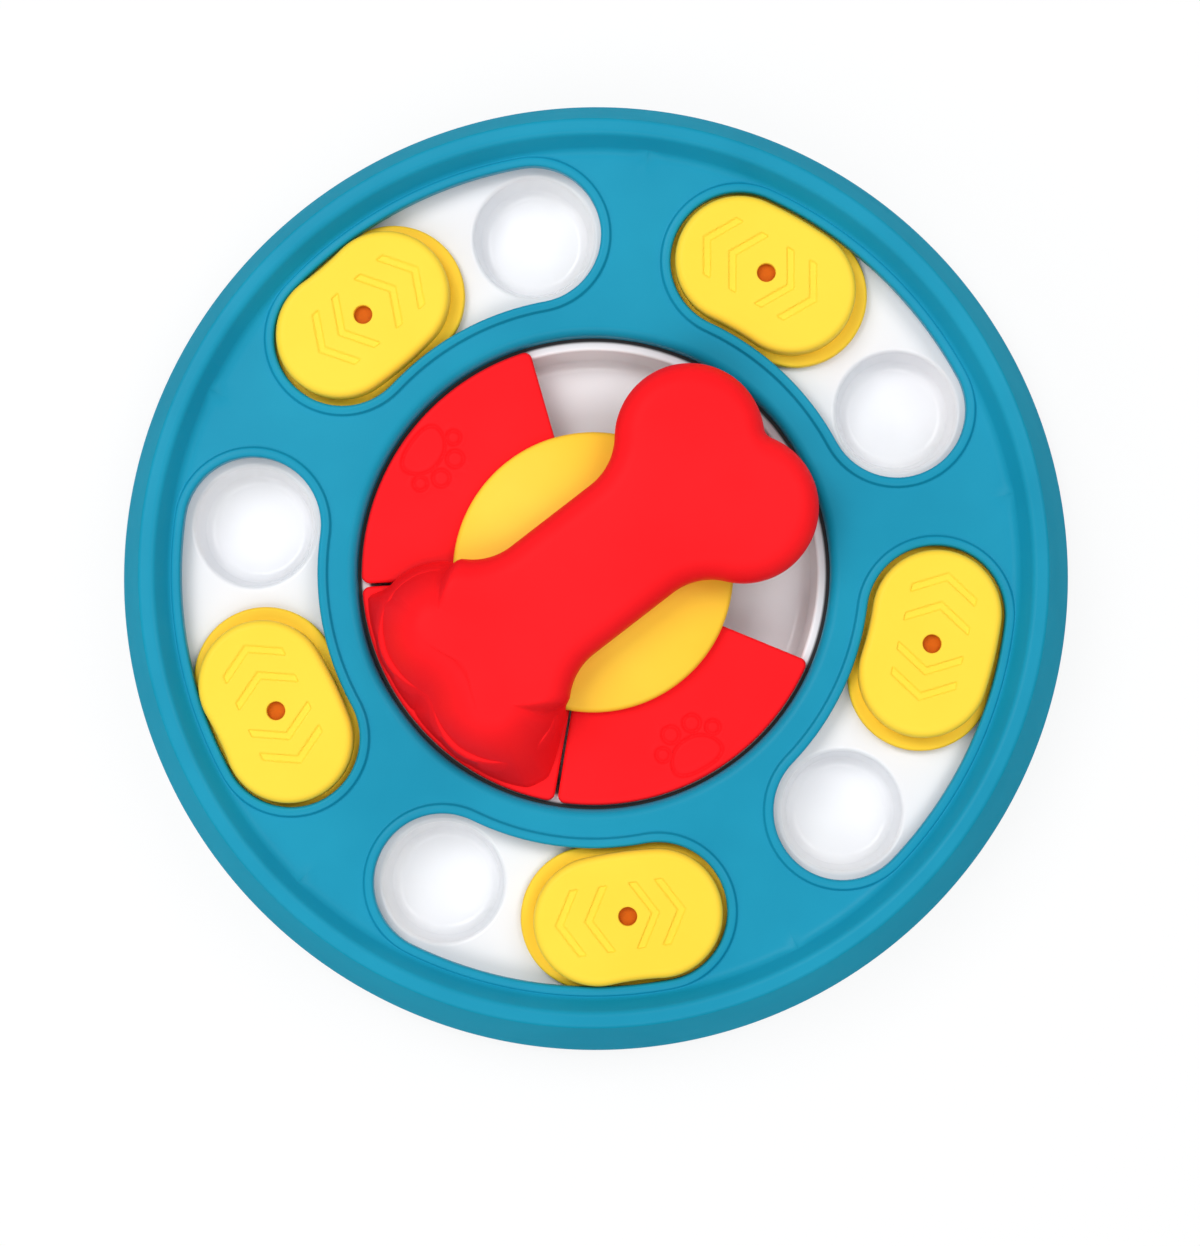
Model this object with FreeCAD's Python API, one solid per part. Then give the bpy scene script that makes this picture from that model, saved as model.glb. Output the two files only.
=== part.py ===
import FreeCAD, Part
import math
import os
from FreeCAD import Vector

# Dog puzzle feeder: a round tray under a shell with five curved slots and a turning bone.
# Millimetres. +Z is up, the origin is the centre of the disc on the floor it stands on.
# Angles are counted anticlockwise from +X, seen from above.

# Heights: the tray's, and what each piece adds to it
foot_height = 2.0
platform_height = 19.6
cup_depth = 11.0
trough_depth = 12.6
rim_height = 5.5
cap_step_height = 4.5
bone_thickness = 16.5

# Plan sizes: the outline, and the widths of the bands that follow it inwards
disc_radius = 125.0
lean_width = 7.8
crest_width = 3.4
rim_slope_width = 4.0
deck_gap = 0.1
slot_half_width = 17.8
land_width = 10.0
ledge_width = 3.2
trough_inner_radius = 25.5
dome_radius = 36.4

# Roundings of the shell and the tray
skirt_height = 5.0
skirt_edge_round = 0.8
skirt_bend_round = 12.0
crest_round = 1.6
rim_foot_round = 2.4
well_round = 5.2
trough_draft = 1.8
trough_floor_round = 3.0
tray_edge_round = 0.7
bore_edge_round = 0.4

# Walls
shell_wall = 2.2
tray_wall = 2.2
cap_wall = 1.8
bone_wall = 2.6
dome_wall = 2.2

# Five slots, each with two cups and one slider; spans are angles seen from the centre
slot_count = 5
slot_middle_angle = 46.5
slot_half_span = 18.35
lip_width = 2.6
lip_height = 1.0
lip_edge_round = 0.7
guide_wall = 1.6
cup_ledge_width = 2.0
cup_draft = 2.2
cup_rim_round = 2.0
cup_floor_round = 2.4

# Sliders
cap_half_span = 5.05
cap_edge_round = 1.8
flange_width = 2.1
flange_span = 0.85
plate_thickness = 3.0
plate_edge_round = 0.8
island_height = 2.0
scent_hole_radius = 2.4
reversed_caps = (2, 3, 4)
slider_yaws = {2: -1.0, 3: 2.0, 4: 2.0, 5: -1.2}
chevron_depth = 0.4
chevron_width = 2.3
chevrons_per_end = 2
chevron_pitch_length = 6.2
chevron_first_length = 8.3
chevron_half_width = 8.2
chevron_slope = 58.0

# Dome, bone and covers
dome_edge_height = 3.4
dome_crown_height = 5.0
dome_edge_round = 1.6
bone_angle = 37.7
bone_tip_gap = 2.0
lobe_side_width = 11.3
lobe_radius = 19.2
shaft_half_width = 17.3
shoulder_radius = 16.0
notch_radius = 3.0
bone_top_round = 7.0
bone_bottom_round = 4.0
bone_cover_angle = 221.8
cover_span = 76.6
cover_split = 0.9
cover_thickness = 2.5
cover_edge_gap = 1.1
cover_seat_width = 2.5
cover_corner_round = 2.0
cover_edge_round = 1.0
cover_rib_depth = 3.0
cover_rib_width = 1.8
rib_end_angle = 2.0
foot_inset_width = 1.2
foot_end_angle = 1.2

# Paw mark pressed into the two loose covers
paw_edge_width = 8.9
paw_depth = 0.5
paw_line_width = 0.8
pad_front_length = 9.0
pad_back_length = 4.9
pad_half_width = 11.0
pad_front_round = 4.5
pad_back_round = 3.2
toe_count = 4
outer_toe_radius = 1.9
inner_toe_radius = 2.4
toe_distance_length = 9.6
toe_step = 36.5

# Turning joint of the bone
spigot_radius = 5.9
washer_radius = 9.5
washer_thickness = 1.2
hub_wall = 2.4
hub_boss_depth = 10.4
bearing_ring_radius = 18.5
bearing_ring_width = 1.8

# Screws and feet
screw_shank_radius = 1.5
screw_head_radius = 2.8
screw_head_height = 2.2
screw_head_round = 0.9
recess_length = 3.4
recess_width = 0.8
recess_depth = 1.1
case_screw_length = 14.0
bone_screw_length = 12.0
bone_screw_circle_radius = 13.0
screw_boss_wall = 2.1
screw_edge_width = 8.6
screw_seat_depth = 4.0
rubber_foot_radius = 5.4
rubber_edge_round = 0.5

# Clearances
running_gap = 0.2
spigot_gap = 0.08
slide_gap = 0.7
cap_gap = 1.2
lift_gap = 0.5
bone_gap = 2.0
cap_fit_gap = 0.1
rib_gap = 1.0
tray_gap = 0.5
platform_gap = 1.0
screw_gap = 0.02
head_gap = 0.6
part_gap = 0.3
cut_margin = 1.0

# Share of a wall by which its inner corner is moved where the wall leans
lean_share = 0.6

# Heights that follow
plate_bottom = platform_height + running_gap
plate_top = plate_bottom + plate_thickness
deck_underside = plate_top + lift_gap
deck_height = deck_underside + shell_wall
crest_height = deck_height + rim_height
cap_height = deck_height + cap_step_height
bone_underside = deck_height + lip_height + bone_gap
bone_height = bone_underside + bone_thickness

# Radii that follow, from the outline inwards
crest_radius = disc_radius - lean_width - crest_width / 2
rim_foot_radius = crest_radius - crest_width / 2 - rim_slope_width
track_radius = rim_foot_radius - deck_gap - lip_width - slot_half_width
well_radius = track_radius - slot_half_width - land_width
tray_radius = disc_radius - shell_wall - tray_gap
platform_radius = rim_foot_radius + platform_gap
trough_outer_radius = well_radius - ledge_width
cover_outer_radius = well_radius - cover_edge_gap
cover_inner_radius = trough_inner_radius - cover_seat_width
paw_radius = cover_outer_radius - paw_edge_width
screw_circle_radius = disc_radius - screw_edge_width
cap_half_width = slot_half_width - cap_gap
plate_half_width = cap_half_width + flange_width
plate_half_span = cap_half_span + flange_span
cup_mouth_radius = slot_half_width - cup_ledge_width
cup_floor_radius = cup_mouth_radius - cup_draft
lobe_end_length = well_radius - bone_tip_gap - lobe_radius

# Other sizes that follow
slot_pitch = 360.0 / slot_count
travel_half_span = slot_half_span - cap_half_span
cup_floor = platform_height - cup_depth
trough_floor = platform_height - trough_depth
cover_bottom = platform_height + running_gap
cover_top = cover_bottom + cover_thickness
cover_pitch = cover_span + cover_split
dome_bottom = cover_top + part_gap
dome_shoulder = dome_bottom + dome_edge_height
dome_top = dome_shoulder + dome_crown_height
bone_screw_seat = dome_bottom + part_gap
hub_bottom = platform_height - hub_boss_depth
washer_top = hub_bottom - running_gap
washer_bottom = washer_top - washer_thickness
screw_boss_radius = screw_shank_radius + screw_boss_wall
screw_cup_radius = screw_head_radius + head_gap + screw_boss_wall
screw_seat = foot_height + screw_seat_depth
post_bottom = screw_seat + tray_wall

UP = Vector(0, 0, 1)
CENTRE = Vector(0, 0, 0)
FULL_TURN = 360.0
HALF_TURN = 180.0
QUARTER_TURN = 90.0
ARC_SHARE = 0.99
FLAT_TOLERANCE = 1e-4


def polar(radius, angle, height=0.0):
    """Point at a radius and an angle in degrees."""
    turn = math.radians(angle)
    return Vector(radius * math.cos(turn), radius * math.sin(turn), height)


def line(start, end):
    return Part.LineSegment(start, end).toShape()


def arc(start, middle, end):
    return Part.Arc(start, middle, end).toShape()


def upright(across, height):
    return Vector(across, 0, height)


def rounded_wire(corners, place):
    """Closed wire through corners (a, b, rounding), each corner cut by a tangent arc.

    An arc never takes more of a side than its share beside the arc at the other end.
    """
    count = len(corners)
    stations = []
    for index, (a, b, rounding) in enumerate(corners):
        here = Vector(a, b, 0)
        if rounding <= 0:
            stations.append([place(a, b)])
            continue
        ways = []
        legs = []
        for other_a, other_b, other_rounding in (corners[index - 1], corners[(index + 1) % count]):
            side = Vector(other_a, other_b, 0) - here
            legs.append(side.Length * rounding / (rounding + other_rounding) * ARC_SHARE)
            ways.append(side.normalize())
        half = ways[0].getAngle(ways[1]) / 2
        leg = min(legs + [rounding / math.tan(half)])
        radius = leg * math.tan(half)
        middle = (ways[0] + ways[1]).normalize() * (radius / math.sin(half) - radius)
        points = [here + ways[0] * leg, here + middle, here + ways[1] * leg]
        stations.append([place(point.x, point.y) for point in points])
    edges = []
    for index, station in enumerate(stations):
        if len(station) > 1:
            edges.append(arc(*station))
        following = stations[(index + 1) % count][0]
        edges.append(line(station[-1], following))
    return Part.Wire(edges)


def turned(corners):
    """Solid of revolution about Z from a rounded outline of (radius, height, rounding)."""
    return Part.Face(rounded_wire(corners, upright)).revolve(CENTRE, UP, FULL_TURN)


def disc(radius, bottom, top, centre=CENTRE):
    return Part.makeCylinder(radius, top - bottom, Vector(centre.x, centre.y, bottom))


def tube(inner, outer, bottom, top, centre=CENTRE):
    return disc(outer, bottom, top, centre).cut(disc(inner, bottom, top, centre))


def raised(wire, bottom, top):
    """Prism over a flat wire, from one height to another."""
    flat = Part.Face(wire)
    flat.translate(Vector(0, 0, bottom))
    return flat.extrude(Vector(0, 0, top - bottom))


def spun(shape, angle, centre=CENTRE):
    copy = shape.copy()
    copy.rotate(centre, UP, angle)
    return copy


def joined(shapes):
    return shapes[0].multiFuse(shapes[1:]).removeSplitter()


def curved_slot(half_width, half_span):
    """Outline of a slot bent round the origin, about the +X axis, in four tangent arcs."""
    outer = track_radius + half_width
    inner = track_radius - half_width
    edges = [arc(polar(outer, -half_span), polar(outer, 0), polar(outer, half_span))]
    for side, start, end in ((1, outer, inner), (-1, inner, outer)):
        middle = polar(track_radius, side * half_span)
        middle += polar(half_width, side * (half_span + QUARTER_TURN))
        edges.append(arc(polar(start, side * half_span), middle, polar(end, side * half_span)))
    edges.append(arc(polar(inner, half_span), polar(inner, 0), polar(inner, -half_span)))
    return Part.Wire(Part.__sortEdges__(edges))


def edges_at(shape, height, within=None):
    """Edges that lie flat at a height, kept to those a test accepts."""
    found = []
    for edge in shape.Edges:
        box = edge.BoundBox
        flat = max(abs(box.ZMin - height), abs(box.ZMax - height)) < FLAT_TOLERANCE
        if flat and (within is None or within(edge)):
            found.append(edge)
    return found


def slot_angles():
    return [slot_middle_angle + slot_pitch * index for index in range(slot_count)]


def screw_angles():
    return [angle + slot_pitch / 2 for angle in slot_angles()]


def screw(centre, seat, length):
    """Pan-head self-tapping screw: head below its seat, shank upwards, and a cross recess."""
    bottom = seat - screw_head_height
    head = disc(screw_head_radius, bottom, seat, centre)
    head = head.makeFillet(screw_head_round, edges_at(head, bottom))
    body = head.fuse(disc(screw_shank_radius, seat, seat + length, centre))
    cross = ((recess_length, recess_width), (recess_width, recess_length))
    for size_x, size_y in cross:
        corner = Vector(centre.x - size_x / 2, centre.y - size_y / 2, bottom)
        body = body.cut(Part.makeBox(size_x, size_y, recess_depth, corner))
    return body


# Shell


def rim_profile(inset):
    """Outer corners of the shell from its skirt over the crest, moved in by an inset."""
    return [
        (disc_radius - inset, foot_height, skirt_edge_round),
        (disc_radius - inset, foot_height + skirt_height, skirt_bend_round),
        (crest_radius + crest_width / 2 - inset, crest_height - inset, crest_round),
    ]


def shell_profile():
    """Section of the shell: skirt, raised rim, sunk deck and the rounded edge of the well."""
    inside = disc_radius - shell_wall
    ceiling = crest_height - shell_wall
    lower_out = crest_radius + crest_width / 2 - shell_wall * lean_share
    lower_in = crest_radius - crest_width / 2 + shell_wall * lean_share
    return rim_profile(0) + [
        (crest_radius - crest_width / 2, crest_height, crest_round),
        (rim_foot_radius, deck_height, rim_foot_round),
        (well_radius, deck_height, well_round),
        (well_radius, platform_height, 0),
        (well_radius + shell_wall, platform_height, 0),
        (well_radius + shell_wall, deck_underside, well_round - shell_wall),
        (rim_foot_radius + shell_wall * lean_share, deck_underside, rim_foot_round),
        (lower_in, ceiling, 0),
        (lower_out, ceiling, 0),
        (inside, foot_height + skirt_height, skirt_bend_round),
        (inside, foot_height, 0),
    ]


def shell_post(angle):
    """Screw post that hangs from the rim, trimmed to stay inside the leaning wall."""
    inner = (screw_circle_radius - screw_boss_radius * 2, crest_height - shell_wall / 2, 0)
    inner_foot = (inner[0], foot_height, 0)
    envelope = turned(rim_profile(shell_wall / 2) + [inner, inner_foot])
    post = disc(screw_boss_radius, post_bottom, crest_height, polar(screw_circle_radius, angle))
    return post.common(envelope)


def make_top_shell():
    body = turned(shell_profile())
    guide_half_width = plate_half_width + slide_gap
    guide_half_span = plate_half_span + travel_half_span
    lip_top = deck_height + lip_height
    mid_deck = deck_height - shell_wall / 2
    lip = raised(curved_slot(slot_half_width + lip_width, slot_half_span), mid_deck, lip_top)
    guide_outline = curved_slot(guide_half_width + guide_wall, guide_half_span)
    guide_space = curved_slot(guide_half_width, guide_half_span)
    guide = raised(guide_outline, platform_height, mid_deck)
    guide = guide.cut(raised(guide_space, platform_height, deck_underside))
    slot = curved_slot(slot_half_width, slot_half_span)
    opening = raised(slot, platform_height, lip_top + cut_margin)
    additions = []
    removals = []
    for angle in slot_angles():
        additions += [spun(lip, angle), spun(guide, angle)]
        removals.append(spun(opening, angle))
    for angle in screw_angles():
        centre = polar(screw_circle_radius, angle)
        additions.append(shell_post(angle))
        pilot_top = post_bottom + case_screw_length
        removals.append(disc(screw_shank_radius + screw_gap, foot_height, pilot_top, centre))
    body = body.multiFuse(additions).cut(removals).removeSplitter()
    return body.makeFillet(lip_edge_round, edges_at(body, lip_top))


# Tray


def tray_profile():
    """Section of the tray through its centre: flange, skirt, platform, trough and hub."""
    draft = trough_draft
    under = platform_height - tray_wall
    skirt = platform_radius - tray_wall
    outer_floor = trough_outer_radius - draft
    inner_floor = trough_inner_radius + draft
    floor_under = trough_floor - tray_wall
    bore = spigot_radius + spigot_gap
    boss = bore + hub_wall
    return [
        (tray_radius, foot_height, tray_edge_round),
        (tray_radius, foot_height + tray_wall, tray_edge_round),
        (platform_radius, foot_height + tray_wall, 0),
        (platform_radius, platform_height, tray_edge_round),
        (trough_outer_radius, platform_height, tray_edge_round),
        (outer_floor, trough_floor, trough_floor_round),
        (inner_floor, trough_floor, trough_floor_round),
        (trough_inner_radius, platform_height, tray_edge_round),
        (bore, platform_height, bore_edge_round),
        (bore, hub_bottom, 0),
        (boss, hub_bottom, 0),
        (boss, under, 0),
        (trough_inner_radius - tray_wall, under, tray_edge_round),
        (inner_floor - tray_wall, floor_under, trough_floor_round),
        (outer_floor + tray_wall, floor_under, trough_floor_round),
        (trough_outer_radius + tray_wall, under, tray_edge_round),
        (skirt, under, tray_edge_round),
        (skirt, foot_height, 0),
    ]


def cup_profile(grow, floor):
    """Half section of a cup space, grown by a wall and closed by a floor height."""
    top = platform_height + cut_margin
    return [
        (0, floor, 0),
        (cup_floor_radius + grow, floor, cup_floor_round + grow),
        (cup_mouth_radius + grow, platform_height, 0),
        (cup_mouth_radius + grow, top, 0),
        (0, top, 0),
    ]


def make_food_tray():
    body = turned(tray_profile())
    wall_block = turned(cup_profile(tray_wall, cup_floor - tray_wall))
    wall_block = wall_block.cut(disc(disc_radius, platform_height, crest_height))
    space = turned(cup_profile(0, cup_floor))
    walls = []
    spaces = []
    for angle in slot_angles():
        for side in (-1, 1):
            place = polar(track_radius, angle + side * slot_half_span)
            for source, group in ((wall_block, walls), (space, spaces)):
                copy = source.copy()
                copy.translate(place)
                group.append(copy)
    cups = []
    holes = []
    for angle in screw_angles():
        centre = polar(screw_circle_radius, angle)
        cups.append(disc(screw_cup_radius, foot_height, post_bottom, centre))
        holes.append(disc(screw_head_radius + head_gap, foot_height, screw_seat, centre))
        holes.append(disc(screw_shank_radius + screw_gap, screw_seat, post_bottom, centre))
    body = body.multiFuse(walls + cups).cut(spaces + holes).removeSplitter()

    def is_cup_mouth(edge):
        return abs(edge.Curve.Radius - cup_mouth_radius) < FLAT_TOLERANCE

    return body.makeFillet(cup_rim_round, edges_at(body, platform_height, is_cup_mouth))


# Sliders


def chevron(first):
    """One chevron band on the +Y side, its point away from the middle of the cap."""
    slope = math.radians(chevron_slope)
    drop = chevron_half_width / math.tan(slope)
    thick = chevron_width / math.sin(slope)
    points = [
        Vector(0, first + thick, 0),
        Vector(chevron_half_width, first + thick - drop, 0),
        Vector(chevron_half_width, first - drop, 0),
        Vector(0, first, 0),
        Vector(-chevron_half_width, first - drop, 0),
        Vector(-chevron_half_width, first + thick - drop, 0),
    ]
    outline = Part.makePolygon(points + points[:1])
    return raised(outline, cap_height - chevron_depth, cap_height + cut_margin)


def slider_place(shape, number, is_cap):
    """Turns a slider piece from the +X axis to its own place at the end of its slot."""
    middle = Vector(track_radius, 0, 0)
    turn = slider_yaws.get(number, 0)
    if is_cap and number in reversed_caps:
        turn += HALF_TURN
    angle = slot_angles()[number - 1] + travel_half_span
    return spun(spun(shape, turn, middle), angle)


def make_slider_cap(number):
    """Hollow bean-shaped cap with a hole and two pairs of pressed chevrons."""
    outline = curved_slot(cap_half_width, cap_half_span)
    body = raised(outline, plate_top, cap_height)
    body = body.makeFillet(cap_edge_round, edges_at(body, cap_height))
    hollow = curved_slot(cap_half_width - cap_wall, cap_half_span)
    body = body.cut(raised(hollow, plate_top, cap_height - cap_wall))
    middle = Vector(track_radius, 0, 0)
    body = body.cut(disc(scent_hole_radius, plate_top, cap_height + cut_margin, middle))
    for step in range(chevrons_per_end):
        mark = chevron(chevron_first_length + chevron_pitch_length * step)
        mark.translate(middle)
        for turn in (0, HALF_TURN):
            body = body.cut(spun(mark, turn, middle))
    return slider_place(body, number, True)


def make_slider_plate(number):
    """Flat bean-shaped plate held under the deck, with an island that plugs into the cap."""
    body = raised(curved_slot(plate_half_width, plate_half_span), plate_bottom, plate_top)
    body = body.makeFillet(plate_edge_round, edges_at(body, plate_top))
    island = curved_slot(cap_half_width - cap_wall - cap_fit_gap, cap_half_span)
    island = raised(island, plate_top - cut_margin, plate_top + island_height)
    if number in reversed_caps:
        island = spun(island, HALF_TURN, Vector(track_radius, 0, 0))
    return slider_place(body.fuse(island).removeSplitter(), number, False)


# Covers, dome and bone


def cover_sector(inner, outer, bottom, top, shrink=0.0):
    """Part of a ring, as wide as a cover, about the +X axis."""
    half = cover_span / 2 - shrink
    edges = [
        arc(polar(outer, -half), polar(outer, 0), polar(outer, half)),
        line(polar(outer, half), polar(inner, half)),
        arc(polar(inner, half), polar(inner, 0), polar(inner, -half)),
        line(polar(inner, -half), polar(outer, -half)),
    ]
    return raised(Part.Wire(edges), bottom, top)


def cover_blank():
    """Cover plate with rounded corners and edge, and two ribs that hang in the trough."""
    body = cover_sector(cover_inner_radius, cover_outer_radius, cover_bottom, cover_top)
    tall = []
    for edge in body.Edges:
        box = edge.BoundBox
        if box.ZLength > cover_thickness / 2 and box.XMax > trough_inner_radius:
            tall.append(edge)
    body = body.makeFillet(cover_corner_round, tall)
    body = body.makeFillet(cover_edge_round, edges_at(body, cover_top))
    rib_bottom = cover_bottom - cover_rib_depth
    outer_rib = trough_outer_radius - rib_gap
    inner_rib = trough_inner_radius + rib_gap
    ribs = [
        cover_sector(outer_rib - cover_rib_width, outer_rib, rib_bottom, cover_bottom, rib_end_angle),
        cover_sector(inner_rib, inner_rib + cover_rib_width, rib_bottom, cover_bottom, rib_end_angle),
    ]
    return joined([body] + ribs)


def pad_outline(inset):
    """Rounded triangle of the paw's pad, its point towards the centre of the disc."""
    tip = paw_radius - pad_front_length + inset
    back = paw_radius + pad_back_length - inset
    side = pad_half_width - inset
    corners = [
        (tip, 0, pad_front_round - inset),
        (back, side, pad_back_round - inset),
        (back, -side, pad_back_round - inset),
    ]
    return rounded_wire(corners, Vector)


def paw_mark():
    """Paw print in pressed lines: a pad and four toes towards the centre of the disc."""
    bottom = cover_top - paw_depth
    top = cover_top + cut_margin
    marks = [raised(pad_outline(0), bottom, top).cut(raised(pad_outline(paw_line_width), bottom, top))]
    outer_toe = (toe_count - 1) / 2
    for toe in range(toe_count):
        step = toe - outer_toe
        radius = outer_toe_radius if abs(step) == outer_toe else inner_toe_radius
        place = Vector(paw_radius, 0, 0) + polar(toe_distance_length, HALF_TURN + toe_step * step)
        marks.append(tube(radius - paw_line_width, radius, bottom, top, place))
    return marks


def make_loose_cover(side):
    """Cover that slides freely round the trough; side +1 or -1 of the bone's own cover."""
    body = cover_blank().cut(paw_mark())
    return spun(body, bone_cover_angle + side * cover_pitch)


def crown(radius, bottom, lowered=0.0):
    """Round block with the dome's crowned top, lowered all over by a wall."""
    sphere_radius = (dome_radius ** 2 + dome_crown_height ** 2) / (2 * dome_crown_height)
    ball = Part.makeSphere(sphere_radius - lowered, Vector(0, 0, dome_top - sphere_radius))
    return disc(radius, bottom, dome_top).common(ball)


def bone_screw_places():
    return [polar(bone_screw_circle_radius * side, bone_angle) for side in (-1, 1)]


def make_turntable_dome():
    """Dome on a spigot, with a bearing ring and the bosses that take the bone's screws."""
    body = crown(dome_radius, dome_bottom)
    body = body.makeFillet(dome_edge_round, edges_at(body, dome_shoulder))
    body = body.cut(crown(dome_radius - dome_wall, dome_bottom, dome_wall))
    ring = crown(bearing_ring_radius, platform_height + running_gap, dome_wall / 2)
    ring = ring.cut(disc(bearing_ring_radius - bearing_ring_width, platform_height, dome_top))
    spigot = crown(spigot_radius, washer_top, dome_wall / 2)
    pilot = screw_shank_radius + screw_gap
    bosses = []
    holes = [disc(pilot, washer_top, washer_top + bone_screw_length)]
    for centre in bone_screw_places():
        boss = disc(screw_boss_radius, bone_screw_seat, dome_top, centre)
        bosses.append(boss.common(crown(dome_radius, bone_screw_seat, dome_wall / 2)))
        holes.append(disc(pilot, bone_screw_seat, dome_top, centre))
    return joined([body, ring, spigot] + bosses).cut(holes)


def bone_outline(inset):
    """Bone outline along X: two lobes and a notch at each end, hollow shoulders, a shaft."""
    lobe = lobe_radius - inset
    shoulder = shoulder_radius + inset
    notch = notch_radius + inset
    shaft = shaft_half_width - inset
    rise = shaft + shoulder - lobe_side_width
    shoulder_x = lobe_end_length - math.sqrt((lobe + shoulder) ** 2 - rise ** 2)
    notch_x = lobe_end_length + math.sqrt((lobe + notch) ** 2 - lobe_side_width ** 2)
    lobe_centre = Vector(lobe_end_length, lobe_side_width, 0)
    shoulder_centre = Vector(shoulder_x, shaft + shoulder, 0)
    notch_centre = Vector(notch_x, 0, 0)
    to_shoulder = (shoulder_centre - lobe_centre).normalize()
    to_notch = (notch_centre - lobe_centre).normalize()
    shaft_end = Vector(shoulder_x, shaft, 0)
    lobe_start = lobe_centre + to_shoulder * lobe
    lobe_end = lobe_centre + to_notch * lobe
    lobe_middle = lobe_centre + (Vector(1, 1, 0).normalize() * lobe)
    dip_way = (shaft_end + lobe_start) * 0.5 - shoulder_centre
    dip = shoulder_centre + dip_way.normalize() * shoulder
    notch_floor = Vector(notch_x - notch, 0, 0)

    def mirrored(point, flip_x, flip_y):
        return Vector(-point.x if flip_x else point.x, -point.y if flip_y else point.y, 0)

    edges = []
    for flip_x in (False, True):
        for flip_y in (False, True):
            for points in ((shaft_end, dip, lobe_start), (lobe_start, lobe_middle, lobe_end)):
                edges.append(arc(*[mirrored(point, flip_x, flip_y) for point in points]))
        top = mirrored(lobe_end, flip_x, False)
        bottom = mirrored(lobe_end, flip_x, True)
        edges.append(arc(top, mirrored(notch_floor, flip_x, False), bottom))
    for flip_y in (False, True):
        edges.append(line(mirrored(shaft_end, False, flip_y), mirrored(shaft_end, True, flip_y)))
    return Part.Wire(Part.__sortEdges__(edges))


def make_bone_handle():
    """Hollow bone whose lower left end runs down into its own cover over the trough."""
    body = raised(bone_outline(0), bone_underside, bone_height)
    body = body.makeFillet(bone_top_round, edges_at(body, bone_height))
    body = body.makeFillet(bone_bottom_round, edges_at(body, bone_underside))
    body = body.cut(raised(bone_outline(bone_wall), bone_underside, bone_height - bone_wall))
    body = spun(body, bone_angle)
    foot_bottom = cover_top - cover_edge_round
    foot_top = bone_underside + bone_bottom_round
    foot = spun(raised(bone_outline(foot_inset_width), foot_bottom, foot_top), bone_angle)
    foot_edge = cover_outer_radius - foot_inset_width
    foot_room = cover_sector(dome_radius, foot_edge, foot_bottom, foot_top, foot_end_angle)
    foot = foot.common(spun(foot_room, bone_cover_angle))
    cover = spun(cover_blank(), bone_cover_angle)
    bosses = []
    removals = [crown(dome_radius + part_gap, dome_bottom - part_gap)]
    for centre in bone_screw_places():
        bosses.append(disc(screw_boss_radius, bone_screw_seat, bone_height - bone_wall / 2, centre))
        pilot_top = bone_screw_seat + bone_screw_length + cut_margin
        removals.append(disc(screw_shank_radius + screw_gap, bone_screw_seat, pilot_top, centre))
    return joined([body, foot, cover] + bosses).cut(removals).removeSplitter()


# Screws, washer and feet


def make_pivot_washer():
    return tube(screw_shank_radius + screw_gap, washer_radius, washer_bottom, washer_top)


def make_pivot_screw():
    return screw(CENTRE, washer_bottom, bone_screw_length)


def make_bone_screws():
    places = bone_screw_places()
    return Part.makeCompound([screw(place, bone_screw_seat, bone_screw_length) for place in places])


def make_case_screws():
    places = [polar(screw_circle_radius, angle) for angle in screw_angles()]
    return Part.makeCompound([screw(place, screw_seat, case_screw_length) for place in places])


def make_rubber_foot(number):
    centre = polar(screw_circle_radius, slot_angles()[number - 1])
    foot = disc(rubber_foot_radius, 0, foot_height, centre)
    return foot.makeFillet(rubber_edge_round, edges_at(foot, 0))


def write_parts():
    os.makedirs("parts", exist_ok=True)
    nodes = {
        "top_shell": make_top_shell(),
        "food_tray": make_food_tray(),
        "case_screws": make_case_screws(),
        "turntable_dome": make_turntable_dome(),
        "bone_handle": make_bone_handle(),
        "bone_screws": make_bone_screws(),
        "pivot_washer": make_pivot_washer(),
        "pivot_screw": make_pivot_screw(),
        "cover_left": make_loose_cover(-1),
        "cover_right": make_loose_cover(1),
    }
    for number in range(1, slot_count + 1):
        nodes["slider_cap_%d" % number] = make_slider_cap(number)
        nodes["slider_plate_%d" % number] = make_slider_plate(number)
        nodes["rubber_foot_%d" % number] = make_rubber_foot(number)
    for name, shape in nodes.items():
        shape.exportStep("parts/%s.step" % name)
        box = shape.BoundBox
        print("%-16s solids %d valid %s volume %.0f z %.2f to %.2f" % (
            name, len(shape.Solids), shape.isValid(), shape.Volume, box.ZMin, box.ZMax))


write_parts()
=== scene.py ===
# %% [markdown]
# # A round puzzle feeder for dogs
# The toy is a stack of plastic mouldings. A white tray with ten cups and a ring trough lies at the
# bottom, and a blue shell with five bent slots is screwed over it. Yellow sliders run in the slots,
# and a red bone turns on a yellow dome in the middle, with loose red covers beside it.
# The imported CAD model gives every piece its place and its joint. This file gives each moulding the
# smooth skin that a steel mould would leave, and then a material, lights and a camera.

# %% Load the fixed frame
import math

import bmesh
import bpy
import numpy as np
from mathutils import Matrix, Vector


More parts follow.
